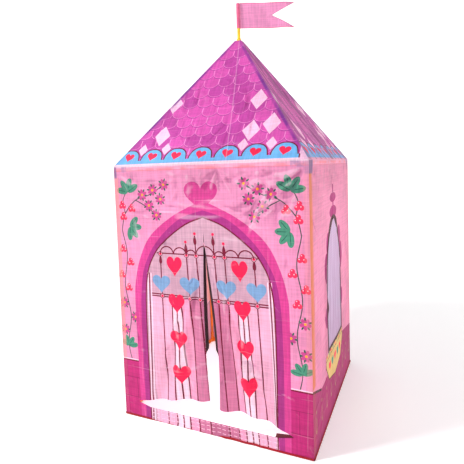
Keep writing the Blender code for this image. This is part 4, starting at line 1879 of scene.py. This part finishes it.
def frame_looks():
    """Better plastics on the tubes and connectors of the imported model."""
    orange = plastic_look("orange_tube_plastic", tube_orange, plain_rough_share)
    blue = plastic_look("blue_moulded_plastic", plastic_blue, blue_rough_share)
    yellow = plastic_look("yellow_moulded_plastic", plastic_yellow, plain_rough_share)
    for name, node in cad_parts.items():
        if "rafter" in name or "eave_connector" in name:
            look = blue
        elif name in ("roof_hub", "flag_stick"):
            look = yellow
        else:
            look = orange
        for slot in node.material_slots:
            slot.material = look


# Studio

camera_place = (0.88369, -2.12268, 1.26890)
camera_turn = math.radians(24.3696)
camera_dip = math.radians(8.8902)
camera_roll = math.radians(-2.0143)
sensor_width = 36
focal_share = 0.90534
stage_radius = 9
stage_height = 7
stage_sides = 64
# The floor's section from its middle outward, in shares of its radius and of its height
stage_shares = (
    (0, 0), (0.35, 0), (0.7, 0), (0.82, 0.012), (0.9, 0.06), (0.96, 0.17), (0.99, 0.35), (1, 0.6), (1, 1),
)
sky_strength = 0.3
# Lights: name, place, target, size and power
lights = (
    ("key", (-3.0, -3.0, 4.2), (0, 0, 0.9), 0.9, 240),
    ("side", (4.4, -1.6, 1.2), (0, 0, 0.9), 1.2, 34),
    ("inside", (0, 0, 1.2), (0, 0, 0), 0.5, 6),
)


def camera():
    """The camera as it stood for the photograph."""
    data = bpy.data.cameras.new("camera")
    data.sensor_width = sensor_width
    data.lens = focal_share * sensor_width
    made = link("camera", data)
    level = math.cos(camera_dip)
    forward = Vector((-math.sin(camera_turn) * level, math.cos(camera_turn) * level, -math.sin(camera_dip)))
    right = Vector((math.cos(camera_turn), math.sin(camera_turn), 0))
    up = right.cross(forward)
    x_axis = right * math.cos(camera_roll) + up * math.sin(camera_roll)
    y_axis = up * math.cos(camera_roll) - right * math.sin(camera_roll)
    turn = Matrix((x_axis, y_axis, -forward)).transposed().to_4x4()
    made.matrix_world = Matrix.Translation(camera_place) @ turn
    bpy.context.scene.camera = made


def area_light(name, place, target, size, power):
    data = bpy.data.lights.new(name, "AREA")
    data.shape = "DISK"
    data.size = size
    data.energy = power
    made = link(name, data)
    made.location = place
    made.rotation_euler = (Vector(target) - Vector(place)).to_track_quat("-Z", "Y").to_euler()
    made.visible_camera = False


def studio():
    """A round white floor that rises into its own backdrop on every side, under a bright even sky."""
    rows = [
        round_row(radius * stage_radius, rise * stage_height, stage_sides) for radius, rise in stage_shares
    ]
    mesh = bpy.data.meshes.new("studio_floor")
    mesh.from_pydata([point for row in rows for point in row], [], grid_faces(len(rows), len(rows[0])))
    mesh.shade_smooth()
    mesh.materials.append(floor_look())
    link("studio_floor", mesh)
    world = bpy.data.worlds.new("studio")
    bpy.context.scene.world = world
    world.use_nodes = True
    sky = world.node_tree.nodes["Background"]
    sky.inputs["Color"].default_value = white
    sky.inputs["Strength"].default_value = sky_strength
    for light in lights:
        area_light(*light)
    bpy.context.scene.view_settings.view_transform = "Standard"


camera()
studio()
frame_looks()
walls()
slot_shade_piece()
leaves()
roof()
flag()
